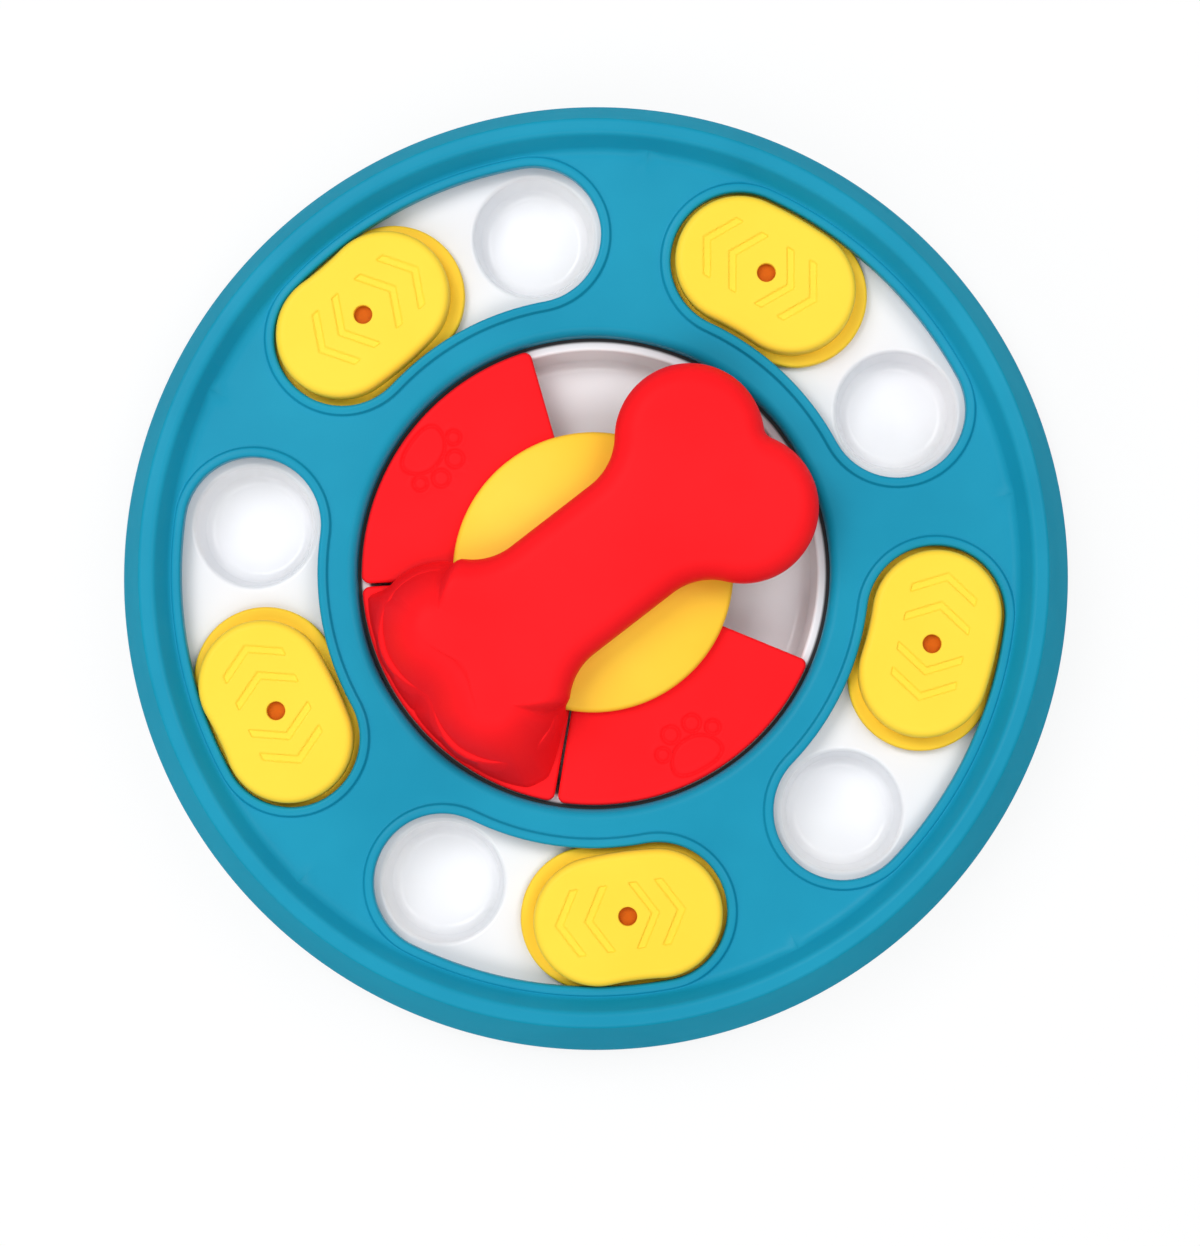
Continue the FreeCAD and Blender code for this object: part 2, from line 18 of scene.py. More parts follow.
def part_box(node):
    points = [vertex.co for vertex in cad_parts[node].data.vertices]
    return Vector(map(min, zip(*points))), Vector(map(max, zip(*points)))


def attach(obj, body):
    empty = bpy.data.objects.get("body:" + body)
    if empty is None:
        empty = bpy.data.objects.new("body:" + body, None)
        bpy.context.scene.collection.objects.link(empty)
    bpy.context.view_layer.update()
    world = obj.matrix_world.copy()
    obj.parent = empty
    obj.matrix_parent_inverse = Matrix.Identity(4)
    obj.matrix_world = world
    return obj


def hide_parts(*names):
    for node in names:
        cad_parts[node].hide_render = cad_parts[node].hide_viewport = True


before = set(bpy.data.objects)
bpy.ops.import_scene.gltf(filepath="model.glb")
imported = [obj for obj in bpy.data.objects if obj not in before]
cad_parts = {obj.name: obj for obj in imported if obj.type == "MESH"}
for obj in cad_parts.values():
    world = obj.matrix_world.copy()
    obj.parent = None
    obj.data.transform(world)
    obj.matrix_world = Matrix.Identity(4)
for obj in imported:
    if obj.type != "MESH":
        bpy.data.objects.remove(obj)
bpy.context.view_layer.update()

# %% [markdown]
# ## Sizes
# All shapes below are worked out in millimetres and turned to metres in one place, where a mesh is
# made. The sizes are those of the CAD model, except that the paw print lies further out and the bone's
# flare falls more gently, as in the photo. Angles are in degrees, anticlockwise from +X.

# %% Sizes of the toy
MM = 0.001
SLOTS = [46.5 + 72.0 * index for index in range(5)]
HALF_PITCH = 36.0
PLATFORM = 19.6
DECK_UNDER = 23.3
DECK = 25.5
CREST = 31.0
FOOT = 2.0
TRACK = 89.3
SLOT_SPAN = 18.35
SLOT_WIDTH = 17.8
CAP_SPAN = 5.05
CAP_WIDTH = 16.6
CAP_TOP = 30.0
PLATE_TOP = 22.8
COVER_TOP = 22.3
DOME_RADIUS = 36.4
BONE_ANGLE = 37.7
BONE_UNDER = 28.5
BONE_TOP = 45.0
TRAVEL = SLOT_SPAN - CAP_SPAN
print("slots at", SLOTS)

# %% [markdown]
# ## Surfaces as grids of points
# Each skin is a sheet: a grid of points with rows and columns, computed by numpy as one array. Quads
# join neighbouring points. A piece is made of a few sheets whose shared borders hold the same points,
# so merging equal points turns them into one closed skin. This is quicker and cleaner than joining
# solids with booleans, and every row can be placed where a highlight needs it.

# %% Points and paths
def polar(radius, angle):
    """Point or points at a radius and an angle: (radius cos angle, radius sin angle)."""
    turn = np.radians(angle)
    return np.stack(np.broadcast_arrays(radius * np.cos(turn), radius * np.sin(turn)), -1)


def turned(points, angle, centre=(0.0, 0.0)):
    """Points turned about a vertical axis: x' = x cos a - y sin a, y' = x sin a + y cos a."""
    turn = math.radians(angle)
    c, s = math.cos(turn), math.sin(turn)
    result = np.array(points, float)
    x, y = result[..., 0] - centre[0], result[..., 1] - centre[1]
    result[..., 0] = centre[0] + x * c - y * s
    result[..., 1] = centre[1] + x * s + y * c
    return result


def path(corners, facets=7):
    """Open path through corners (across, height, rounding).

    At a corner with rounding r the path leaves both sides r / tan(half the angle) before the corner
    and follows the circle of radius r that touches them, in equal steps of turn.
    """
    pts = np.array([corner[:2] for corner in corners], float)
    out = [pts[0]]
    for here, before, after, corner in zip(pts[1:-1], pts[:-2], pts[2:], corners[1:-1]):
        back, ahead = before - here, after - here
        long_back, long_ahead = np.linalg.norm(back), np.linalg.norm(ahead)
        back, ahead = back / long_back, ahead / long_ahead
        half = math.acos(np.clip(back @ ahead, -1, 1)) / 2
        radius = corner[2]
        if radius <= 0 or abs(half - math.pi / 2) < 1e-3:
            out.append(here)
            continue
        leg = min(radius / math.tan(half), 0.48 * long_back, 0.48 * long_ahead)
        radius = leg * math.tan(half)
        inward = (back + ahead) / np.linalg.norm(back + ahead)
        centre = here + inward * radius / math.sin(half)
        first, last = here + back * leg - centre, here + ahead * leg - centre
        sweep = math.pi - 2 * half
        for share in np.linspace(0, 1, facets):
            a = math.sin((1 - share) * sweep) / math.sin(sweep)
            b = math.sin(share * sweep) / math.sin(sweep)
            out.append(centre + a * first + b * last)
    out.append(pts[-1])
    return np.array(out)


print("a rounded corner takes", len(path([(0, 0, 0), (1, 0, 0.2), (1, 1, 0)])) - 2, "points")

# %% Sheets, meshes and pieces
def revolved(profile, angles):
    """Sheet of a path (radius, height) carried round the Z axis through the given angles."""
    plan = polar(profile[:, None, 0], np.asarray(angles)[None, :])
    height = np.broadcast_to(profile[:, 1][:, None], plan.shape[:2])
    return np.dstack([plan, height])


def raised(plan, height):
    """Adds heights to a grid of plan points."""
    return np.dstack([plan, np.broadcast_to(height, plan.shape[:2])])


def quads(rows, columns, wrap):
    """Corner numbers of the quads between neighbouring rows and columns of a grid."""
    number = np.arange(rows * columns).reshape(rows, columns)
    if wrap:
        number = np.hstack([number, number[:, :1]])
    return np.stack([number[:-1, :-1], number[:-1, 1:], number[1:, 1:], number[1:, :-1]], -1).reshape(-1, 4)


def build(name, sheets, crease=35.0):
    """Mesh object from sheets (points, wrap): equal points are merged and faces turned outwards."""
    points, faces, start = [], [], 0
    for grid, wrap in sheets:
        rows, columns = grid.shape[:2]
        faces.append(quads(rows, columns, wrap) + start)
        points.append(grid.reshape(-1, 3))
        start += rows * columns
    points, faces = np.vstack(points) * MM, np.vstack(faces)
    mesh = bpy.data.meshes.new(name)
    mesh.from_pydata(points, [], faces)
    work = bmesh.new()
    work.from_mesh(mesh)
    bmesh.ops.remove_doubles(work, verts=work.verts, dist=2e-6)
    bmesh.ops.dissolve_degenerate(work, edges=work.edges, dist=1e-7)
    bmesh.ops.recalc_face_normals(work, faces=work.faces)
    open_edges = sum(1 for edge in work.edges if len(edge.link_faces) != 2)
    work.to_mesh(mesh)
    work.free()
    mesh.shade_smooth()
    mesh.set_sharp_from_angle(angle=math.radians(crease))
    piece = bpy.data.objects.new(name, mesh)
    bpy.context.scene.collection.objects.link(piece)
    print(f"{name}: {len(mesh.polygons)} faces, {open_edges} open edges")
    return piece


def dress(piece, body, slot, material, *nodes):
    """A finished piece rides on its body, stands for its CAD nodes and gets its material."""
    piece.data.materials.append(material)
    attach(piece, body)
    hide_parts(*nodes)
    return piece

# %% [markdown]
# ## Plastics
# Toys like this come from polished moulds in coloured ABS. Such plastic is one colour right through, with
# faint flow marks, a very fine grain and a gloss that varies a little where the mould is worn. One node
# group makes all of this from noise at three sizes, and each plastic gives it its own values. A second
# group paints a dark shade into the deep corner round the well, where hardly any light gets in.

# %% Node helpers
def node_group(name, inputs, outputs):
    """New shader node group with its sockets, and the group's input and output nodes."""
    group = bpy.data.node_groups.new(name, "ShaderNodeTree")
    for socket, kind, value in inputs:
        made = group.interface.new_socket(name=socket, in_out="INPUT", socket_type=kind)
        made.default_value = value
    for socket, kind in outputs:
        group.interface.new_socket(name=socket, in_out="OUTPUT", socket_type=kind)
    return group, group.nodes.new("NodeGroupInput"), group.nodes.new("NodeGroupOutput")


def noise(tree, vector, scale, detail):
    """Noise texture on the given coordinates; its features are about 1 / scale metres across."""
    node = tree.nodes.new("ShaderNodeTexNoise")
    node.inputs["Scale"].default_value = scale
    node.inputs["Detail"].default_value = detail
    tree.links.new(vector, node.inputs["Vector"])
    return node.outputs["Fac"]


def math_node(tree, kind, *values):
    """Math node; a value is a number or an output to link."""
    node = tree.nodes.new("ShaderNodeMath")
    node.operation = kind
    for socket, value in zip(node.inputs, values):
        if isinstance(value, (int, float)):
            socket.default_value = value
        else:
            tree.links.new(value, socket)
    return node.outputs[0]

# %% Group for moulded plastic
FLOW_SCALE, WEAR_SCALE, GRAIN_SCALE = 28.0, 130.0, 2200.0


def make_moulded_group():
    """Colour = base mixed with a second tone by slow noise; roughness = base + spread x (noise - 1/2);
    height = fine grain + slow ripple, in metres."""
    group, given, result = node_group(
        "moulded_plastic",
        [("Base", "NodeSocketColor", (0.8, 0.8, 0.8, 1)), ("Tone", "NodeSocketColor", (0.7, 0.7, 0.7, 1)),
         ("Roughness", "NodeSocketFloat", 0.4), ("Spread", "NodeSocketFloat", 0.1),
         ("Grain", "NodeSocketFloat", 0.00001), ("Ripple", "NodeSocketFloat", 0.00002)],
        [("Color", "NodeSocketColor"), ("Roughness", "NodeSocketFloat"), ("Height", "NodeSocketFloat")])
    place = group.nodes.new("ShaderNodeTexCoord").outputs["Object"]
    slow = noise(group, place, FLOW_SCALE, 3.0)
    middle = noise(group, place, WEAR_SCALE, 4.0)
    fine = noise(group, place, GRAIN_SCALE, 2.0)
    mix = group.nodes.new("ShaderNodeMix")
    mix.data_type = "RGBA"
    share = group.nodes.new("ShaderNodeMapRange")
    share.inputs["From Min"].default_value, share.inputs["From Max"].default_value = 0.35, 0.7
    group.links.new(slow, share.inputs["Value"])
    group.links.new(share.outputs["Result"], mix.inputs["Factor"])
    group.links.new(given.outputs["Base"], mix.inputs["A"])
    group.links.new(given.outputs["Tone"], mix.inputs["B"])
    group.links.new(mix.outputs["Result"], result.inputs["Color"])
    swing = math_node(group, "MULTIPLY", math_node(group, "SUBTRACT", middle, 0.5), given.outputs["Spread"])
    group.links.new(math_node(group, "ADD", given.outputs["Roughness"], swing), result.inputs["Roughness"])
    grain = math_node(group, "MULTIPLY", fine, given.outputs["Grain"])
    ripple = math_node(group, "MULTIPLY", slow, given.outputs["Ripple"])
    group.links.new(math_node(group, "ADD", grain, ripple), result.inputs["Height"])
    return group


moulded = make_moulded_group()
print("group", moulded.name, "has", len(moulded.nodes), "nodes")

# %% Plastics of the toy
def linear(red, green, blue):
    """Scene-linear colour of an 8-bit sRGB colour: c/12.92 below 0.04, else ((c + 0.055)/1.055)^2.4."""
    values = [value / 255 for value in (red, green, blue)]
    return [v / 12.92 if v <= 0.04045 else ((v + 0.055) / 1.055) ** 2.4 for v in values] + [1.0]


def plastic(name, base, tone, roughness, spread, grain, ripple=0.00002, specular=0.5):
    """Material of one moulded plastic: the group feeds colour, roughness and a bump."""
    material = bpy.data.materials.new(name)
    material.use_nodes = True
    tree = material.node_tree
    shader = tree.nodes["Principled BSDF"]
    group = tree.nodes.new("ShaderNodeGroup")
    group.node_tree = moulded
    group.inputs["Base"].default_value, group.inputs["Tone"].default_value = linear(*base), linear(*tone)
    for socket, value in (("Roughness", roughness), ("Spread", spread), ("Grain", grain), ("Ripple", ripple)):
        group.inputs[socket].default_value = value
    bump = tree.nodes.new("ShaderNodeBump")
    bump.inputs["Distance"].default_value = 1.0
    tree.links.new(group.outputs["Color"], shader.inputs["Base Color"])
    tree.links.new(group.outputs["Roughness"], shader.inputs["Roughness"])
    tree.links.new(group.outputs["Height"], bump.inputs["Height"])
    tree.links.new(bump.outputs["Normal"], shader.inputs["Normal"])
    shader.inputs["Specular IOR Level"].default_value = specular
    return material


SPREAD, GRAIN = 0.08, 0.000004
blue_plastic = plastic("blue_plastic", (24, 150, 182), (18, 142, 174), 0.40, SPREAD, GRAIN, specular=0.12)
yellow_plastic = plastic("yellow_plastic", (255, 219, 66), (255, 214, 60), 0.45, SPREAD, GRAIN, specular=0.15)
# The plates' yellow is the sliders' yellow a little darker and warmer: painted shade for their lower place
# under the deck.
plate_yellow_painted_shade = plastic("plate_yellow_painted_shade", (255, 212, 58), (254, 206, 52), 0.45, SPREAD, GRAIN, specular=0.15)
red_plastic = plastic("red_plastic", (253, 29, 36), (250, 25, 32), 0.5, SPREAD, GRAIN, specular=0.06)
matt_blue_plastic = plastic("matt_blue_plastic", (24, 152, 182), (19, 146, 176), 0.65, 0.06, 0.00001,
                            specular=0.02)
dome_plastic = plastic("dome_plastic", (255, 212, 62), (255, 203, 54), 0.42, SPREAD, GRAIN, specular=0.15)
# Dark orange-brown for the peg's top: painted shade at the bottom of the scent hole.
hole_floor_painted_shade = plastic("hole_floor_painted_shade", (206, 98, 4), (198, 92, 2), 0.5, SPREAD, GRAIN, specular=0.1)
white_plastic = plastic("white_plastic", (240, 240, 242), (237, 237, 240), 0.24, 0.06, 0.000002,
                        specular=0.35)
print("plastics:", [material.name for material in bpy.data.materials])

# %% Painted shade in the well's corner, and hardware finishes
def make_painted_shade_group():
    """Mask for painted shade in the narrow corner where the tray's ledge meets the shell.

    Mask = 1.94 x (1 - |radius - middle radius| / width), held between 0 and 0.97; nought below a height.
    """
    group, given, result = node_group(
        "painted_shade_mask",
        [("Radius", "NodeSocketFloat", 0.0613), ("Width", "NodeSocketFloat", 0.0012),
         ("Low", "NodeSocketFloat", 0.019)],
        [("Mask", "NodeSocketFloat")])
    place = group.nodes.new("ShaderNodeTexCoord").outputs["Object"]
    parts = group.nodes.new("ShaderNodeSeparateXYZ")
    group.links.new(place, parts.inputs[0])
    square = [math_node(group, "MULTIPLY", parts.outputs[axis], parts.outputs[axis]) for axis in ("X", "Y")]
    radius = math_node(group, "SQRT", math_node(group, "ADD", *square))
    away = math_node(group, "ABSOLUTE", math_node(group, "SUBTRACT", radius, given.outputs["Radius"]))
    near = math_node(group, "SUBTRACT", 1.0, math_node(group, "DIVIDE", away, given.outputs["Width"]))
    near = math_node(group, "MINIMUM", math_node(group, "MAXIMUM", near, 0.0), 0.5)
    high = math_node(group, "GREATER_THAN", parts.outputs["Z"], given.outputs["Low"])
    strong = math_node(group, "MULTIPLY", near, 1.94)
    group.links.new(math_node(group, "MULTIPLY", strong, high), result.inputs["Mask"])
    return group


def paint_corner_shade(material, shade):
    """Mixes a dark tone into a material's colour where the mask says: painted shade."""
    tree = material.node_tree
    shader = tree.nodes["Principled BSDF"]
    colour = shader.inputs["Base Color"].links[0].from_socket
    shade_mask_node, mix = tree.nodes.new("ShaderNodeGroup"), tree.nodes.new("ShaderNodeMix")
    shade_mask_node.node_tree, mix.data_type = make_painted_shade_group(), "RGBA"
    mix.inputs["B"].default_value = linear(*shade)
    tree.links.new(shade_mask_node.outputs["Mask"], mix.inputs["Factor"])
    tree.links.new(colour, mix.inputs["A"])
    tree.links.new(mix.outputs["Result"], shader.inputs["Base Color"])


# The tray's white gets a near-black painted shade in the deep corner round the well.
paint_corner_shade(white_plastic, (14, 12, 16))
steel = plastic("screw_steel", (176, 176, 178), (150, 150, 153), 0.32, 0.2, 0.000006)
steel.node_tree.nodes["Principled BSDF"].inputs["Metallic"].default_value = 1.0
rubber = plastic("foot_rubber", (30, 30, 31), (38, 38, 39), 0.82, 0.1, 0.00002)
print("materials:", len(bpy.data.materials))

# %% [markdown]
# ## Screws, washer and feet
# These small parts are right as they come from the CAD model, so they stay and only get a finish.

# %% Hardware
for name in ("case_screws", "bone_screws", "pivot_washer", "pivot_screw"):
    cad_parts[name].data.materials.clear()
    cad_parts[name].data.materials.append(steel)
for number in range(1, 6):
    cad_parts[f"rubber_foot_{number}"].data.materials.clear()
    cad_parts[f"rubber_foot_{number}"].data.materials.append(rubber)
print("hardware dressed")

# %% [markdown]
# ## Outlines
# Slots, caps and plates share one outline: a band of constant width bent round the disc's centre, with
# round ends. It is a centre line plus a half width along a unit normal, so any offset of it is exact.
# Round holes are the same thing with a single centre. From such an outline, straight rays carry the
# sheet out to the border of a wedge-shaped cell, and turned copies of the cell fill the ring.

# %% Bent bands and cells
def breaks(angles, step):
    """Angles from the first break to the last, every break kept, about a step apart."""
    parts = []
    for low, high in zip(angles[:-1], angles[1:]):
        count = max(2, int(round((high - low) / step)))
        parts.append(np.linspace(low, high, count, endpoint=False))
    return np.concatenate(parts + [[angles[-1]]])


def bent_band(span, turns=None, along=44):
    """Centre line and outward normals of a band bent round the origin about +X.

    Outer side: angle a from -span to span, normal (cos a, sin a). Round end: the centre stays at span
    and the normal turns by half a circle. The inner side and the other end mirror them.
    """
    turns = breaks([0, 180], 5.0) if turns is None else turns
    sweep = np.linspace(-span, span, along, endpoint=False)
    back = sweep[::-1] + 2 * span / along
    ones = np.ones(len(turns) - 1)
    middle = np.concatenate([sweep, span * ones, back, -span * ones])
    facing = np.concatenate([sweep, span + turns[:-1], back + 180, 360 - span - turns[::-1][:-1]])
    return polar(TRACK, middle), polar(1.0, facing)


def reach(centres, ways, inner, outer, low, high):
    """Length of each ray until it leaves the cell inner < radius < outer, low < angle < high."""
    along = (centres * ways).sum(-1)
    square = (centres ** 2).sum(-1)
    far = -along + np.sqrt(along ** 2 - square + outer ** 2)
    gap = along ** 2 - square + inner ** 2
    near = -along - np.sqrt(np.maximum(gap, 0))
    lengths = [far, np.where((gap > 0) & (near > 0), near, np.inf)]
    for angle, sign in ((low, 1), (high, -1)):
        side = polar(1.0, angle + sign * 90.0)
        toward = ways @ side
        distance = -(centres @ side)
        with np.errstate(divide="ignore", invalid="ignore"):
            length = np.where(toward < -1e-9, distance / toward, np.inf)
        lengths.append(length)
    return np.minimum.reduce(lengths)


def corner_turns(centre, corners, base=0.0):
    """Directions from a centre to the corners of its cell, counted from a base direction."""
    ways = [np.degrees(math.atan2(y - centre[1], x - centre[0])) - base for x, y in corners]
    return sorted(way % 360 for way in ways)


def spread(first, last, shares):
    """Rows between two plan curves, at the given shares of the way."""
    shares = np.asarray(shares)[:, None, None]
    return first[None] * (1 - shares) + last[None] * shares


def border_angles(border, radius, cells):
    """Angles at which the cells' border points lie on a circle, for all the turned cells."""
    on = np.abs(np.hypot(border[:, 0], border[:, 1]) - radius) < 1e-6
    own = np.degrees(np.arctan2(border[on, 1], border[on, 0]))
    every = np.sort(np.concatenate([(own + turn) % 360 for turn in cells]))
    return every[np.append(True, np.diff(every) > 1e-6) & (every < 360 - 1e-6)]


print("slot outline:", len(bent_band(SLOT_SPAN)[0]), "points")

# %% [markdown]
# ## The blue shell
# On the real toy this is one injection moulding: a leaning outer wall, a bright rounded crest, a slope
# down to a sunk deck, a low lip round each slot and a soft edge down into the well. One cell of 72
# degrees holds one slot. The cell's sheet starts under the deck, goes round the guide wall, up through
# the slot, over the lip and out to the cell's border. Two turned rings close it inside and outside.
# The outer wall gets a more matt finish, so that it keeps its colour beside the white surroundings.

# %% Heights of the deck
RIM_INNER, RIM_OUTER = 67.5, 110.6
LIP_WIDTH, LIP_HEIGHT, LIP_ROUND = 2.6, 1.3, 0.9
STEP_START, STEP_WIDTH = 0.45, 0.75
CROWN_START, CROWN_FALL = 0.9, 0.35
BLEND = 0.25
WALL_START = 117.2
rim_line = path([(100.0, 0.0, 0), (109.6, 0.0, 3.6), (113.6, 5.5, 2.2), (WALL_START, 5.5, 0)], 12)


def slot_distance(x, y, slot):
    """Distance outside the nearest slot's edge: the distance to the bent centre line less a half width."""
    radius, angle = np.hypot(x, y), np.degrees(np.arctan2(y, x))
    angle = (angle - slot + HALF_PITCH) % (2 * HALF_PITCH) - HALF_PITCH
    end = polar(TRACK, np.sign(angle) * SLOT_SPAN)
    here = polar(radius, angle)
    beside = np.abs(radius - TRACK)
    beyond = np.hypot(here[..., 0] - end[..., 0], here[..., 1] - end[..., 1])
    return np.where(np.abs(angle) <= SLOT_SPAN, beside, beyond) - SLOT_WIDTH


def deck_height(x, y, slot=0.0):
    """Deck plus the higher of the rim's slope and the lip.

    The lip is a low crowned band. It falls as a quarter circle into the slot and as a short step outside.
    """
    away = slot_distance(x, y, slot)
    inside = np.clip(LIP_ROUND - away, 0, LIP_ROUND)
    fall = LIP_ROUND - np.sqrt(np.maximum(LIP_ROUND ** 2 - inside ** 2, 0))
    step = np.clip((away - LIP_WIDTH + STEP_START) / STEP_WIDTH, 0, 1)
    crown = CROWN_FALL * np.clip((away - CROWN_START) / (LIP_WIDTH - CROWN_START), 0, 1) ** 2
    lip = (LIP_HEIGHT - crown) * (1 - step ** 2 * (3 - 2 * step)) - fall
    rim = np.interp(np.hypot(x, y), rim_line[:, 0], rim_line[:, 1])
    high = np.maximum(lip, rim)
    blend = np.clip(1 - np.abs(lip - rim) / (2 * BLEND), 0, 1)
    return DECK + high + BLEND * blend ** 2 / 2 * (rim > 0.02) * (lip > 0.02)


print("deck height beside a slot", round(float(deck_height(TRACK + SLOT_WIDTH + 1.0, 0.0)), 2), "mm")

# %% Cell, rings and shell
GUIDE_SPAN, GUIDE_IN, GUIDE_OUT = 19.2, 19.4, 21.0
CREST_START, WALL = 115.6, 125.0
WELL, WELL_OUTER = 61.5, 63.7


def make_shell():
    """Skin of the shell: five cells round the slots, the rim's ring outside and the well's ring inside."""
    end = polar(TRACK, SLOT_SPAN)
    corners = [polar(RIM_OUTER, HALF_PITCH), polar(RIM_INNER, HALF_PITCH)]
    turns = breaks([0, *corner_turns(end, corners, SLOT_SPAN), 180], 4.0)
    centre, normal = bent_band(SLOT_SPAN, turns)
    guide_centre, guide_normal = bent_band(GUIDE_SPAN, turns)
    border = centre + normal * reach(centre, normal, RIM_INNER, RIM_OUTER, -HALF_PITCH, HALF_PITCH)[:, None]
    edge = centre + normal * SLOT_WIDTH
    guide_in = guide_centre + guide_normal * GUIDE_IN
    guide_out = guide_centre + guide_normal * GUIDE_OUT
    rows = [raised(spread(border, guide_out, [0, 0.5, 1]), DECK_UNDER)]
    rows += [raised(guide_out[None], PLATFORM), raised(guide_in[None], PLATFORM)]
    rows += [raised(guide_in[None], DECK_UNDER), raised(edge[None], DECK_UNDER)]
    for height in (DECK_UNDER + 0.15, DECK - 0.4, DECK + LIP_HEIGHT - LIP_ROUND):
        rows.append(raised(edge[None], height))
    quarter = np.radians(np.linspace(15, 90, 6))
    rounding = LIP_ROUND * (1 - np.cos(quarter))
    offsets = np.concatenate([rounding, np.linspace(1.1, 2.1, 4), np.linspace(2.2, 2.9, 8), [3.1]])
    lip = centre[None] + normal[None] * (SLOT_WIDTH + offsets)[:, None, None]
    rows.append(raised(lip, deck_height(lip[..., 0], lip[..., 1])))
    shares = 1 - (1 - np.linspace(0, 1, 16)[1:]) ** 1.6
    land = spread(lip[-1], border, shares)
    rows.append(raised(land, deck_height(land[..., 0], land[..., 1])))
    cell = np.vstack(rows)
    sheets = [(turned(cell, slot), True) for slot in SLOTS]

    columns = border_angles(border, RIM_OUTER, SLOTS)
    radii = np.linspace(RIM_OUTER, CREST_START, 22)
    plan = polar(radii[:, None], columns[None, :])
    slope = raised(plan, deck_height(plan[..., 0], plan[..., 1], SLOTS[0]))
    sheets.append((slope, True))
    wall = path([(CREST_START, CREST, 0), (117.3, CREST, 1.9), (WALL, 7.2, 12.0), (WALL, FOOT, 0.8),
                 (122.8, FOOT, 0.4), (122.8, 7.0, 10.0), (115.9, 28.8, 1.0), (115.1, 28.8, 1.0),
                 (111.1, DECK_UNDER, 1.5), (RIM_OUTER, DECK_UNDER, 0)], 9)
    sheets.append((revolved(wall, columns), True))

    columns = border_angles(border, RIM_INNER, SLOTS)
    well = path([(RIM_INNER, DECK, 0), (WELL, DECK, 5.6), (WELL, PLATFORM, 0), (WELL_OUTER, PLATFORM, 0),
                 (WELL_OUTER, DECK_UNDER, 2.0), (RIM_INNER, DECK_UNDER, 0)], 14)
    sheets.append((revolved(well, columns), True))
    return build("shell_skin", sheets)


def second_finish(piece, material, chosen):
    """Gives a second material to the faces whose centres fulfil a condition on (x, y, z) in millimetres."""
    centres = np.empty(3 * len(piece.data.polygons))
    piece.data.polygons.foreach_get("center", centres)
    numbers = chosen(*(centres.reshape(-1, 3) / MM).T).astype(np.int32)
    piece.data.materials.append(material)
    piece.data.polygons.foreach_set("material_index", numbers)
    print(f"{piece.name}: {numbers.sum()} faces in {material.name}")


shell = dress(make_shell(), "base", "blue_shell", blue_plastic, "top_shell")
second_finish(shell, matt_blue_plastic, lambda x, y, z: np.hypot(x, y) > WALL_START)

# %% [markdown]
# ## The white tray
# The tray is a second moulding. Ten cups, two for each slot, have soft rims and rounded floors, and a
# ring trough lies in the well. One cell of 36 degrees holds one cup; a mirrored copy holds the other.
# A cup is a path turned round its own centre, so its rim catches one clean ring of light.

# %% Cells with a cup, trough and flange
TRAY_INNER, TRAY_OUTER = 66.0, 108.0
TRAY_UNDER, CUP_FLOOR, CUP_UNDER = 17.4, 8.6, 6.4
TROUGH_FLOOR, TROUGH_UNDER = 7.0, 4.8
FLANGE_INNER, FLANGE_OUTER, FLANGE_TOP = 110.0, 121.4, 4.2
SCREW_CIRCLE, SCREW_BORE = 116.4, 1.52
HUB_BORE = 5.98
RING_STEP = 1.5


def cell_border(inner, outer, low, high, across=12):
    """Border of a wedge: outer arc, one side inwards, inner arc back, the other side outwards."""
    arc = np.linspace(low, high, int(round((high - low) / RING_STEP)) + 1)
    side = np.linspace(outer, inner, across + 1)
    return np.vstack([polar(outer, arc[:-1]), polar(side[:-1], high),
                      polar(inner, arc[:0:-1]), polar(side[:0:-1], low)])


def holed_cell(centre, border, line, height):
    """Sheet between a cell's border at one height and a path (radius, height) round a hole's centre.

    Each border point has its own straight ray to the centre, so the path's rows meet the rays squarely.
    """
    way = border - centre
    way = way / np.hypot(way[:, 0], way[:, 1])[:, None]
    ring = centre + way[None] * line[:, 0][:, None, None]
    return np.vstack([raised(border[None], height), raised(ring, line[:, 1][:, None])])


def mirrored(grid):
    """The grid with y turned over."""
    return grid * np.array([1.0, -1.0, 1.0])


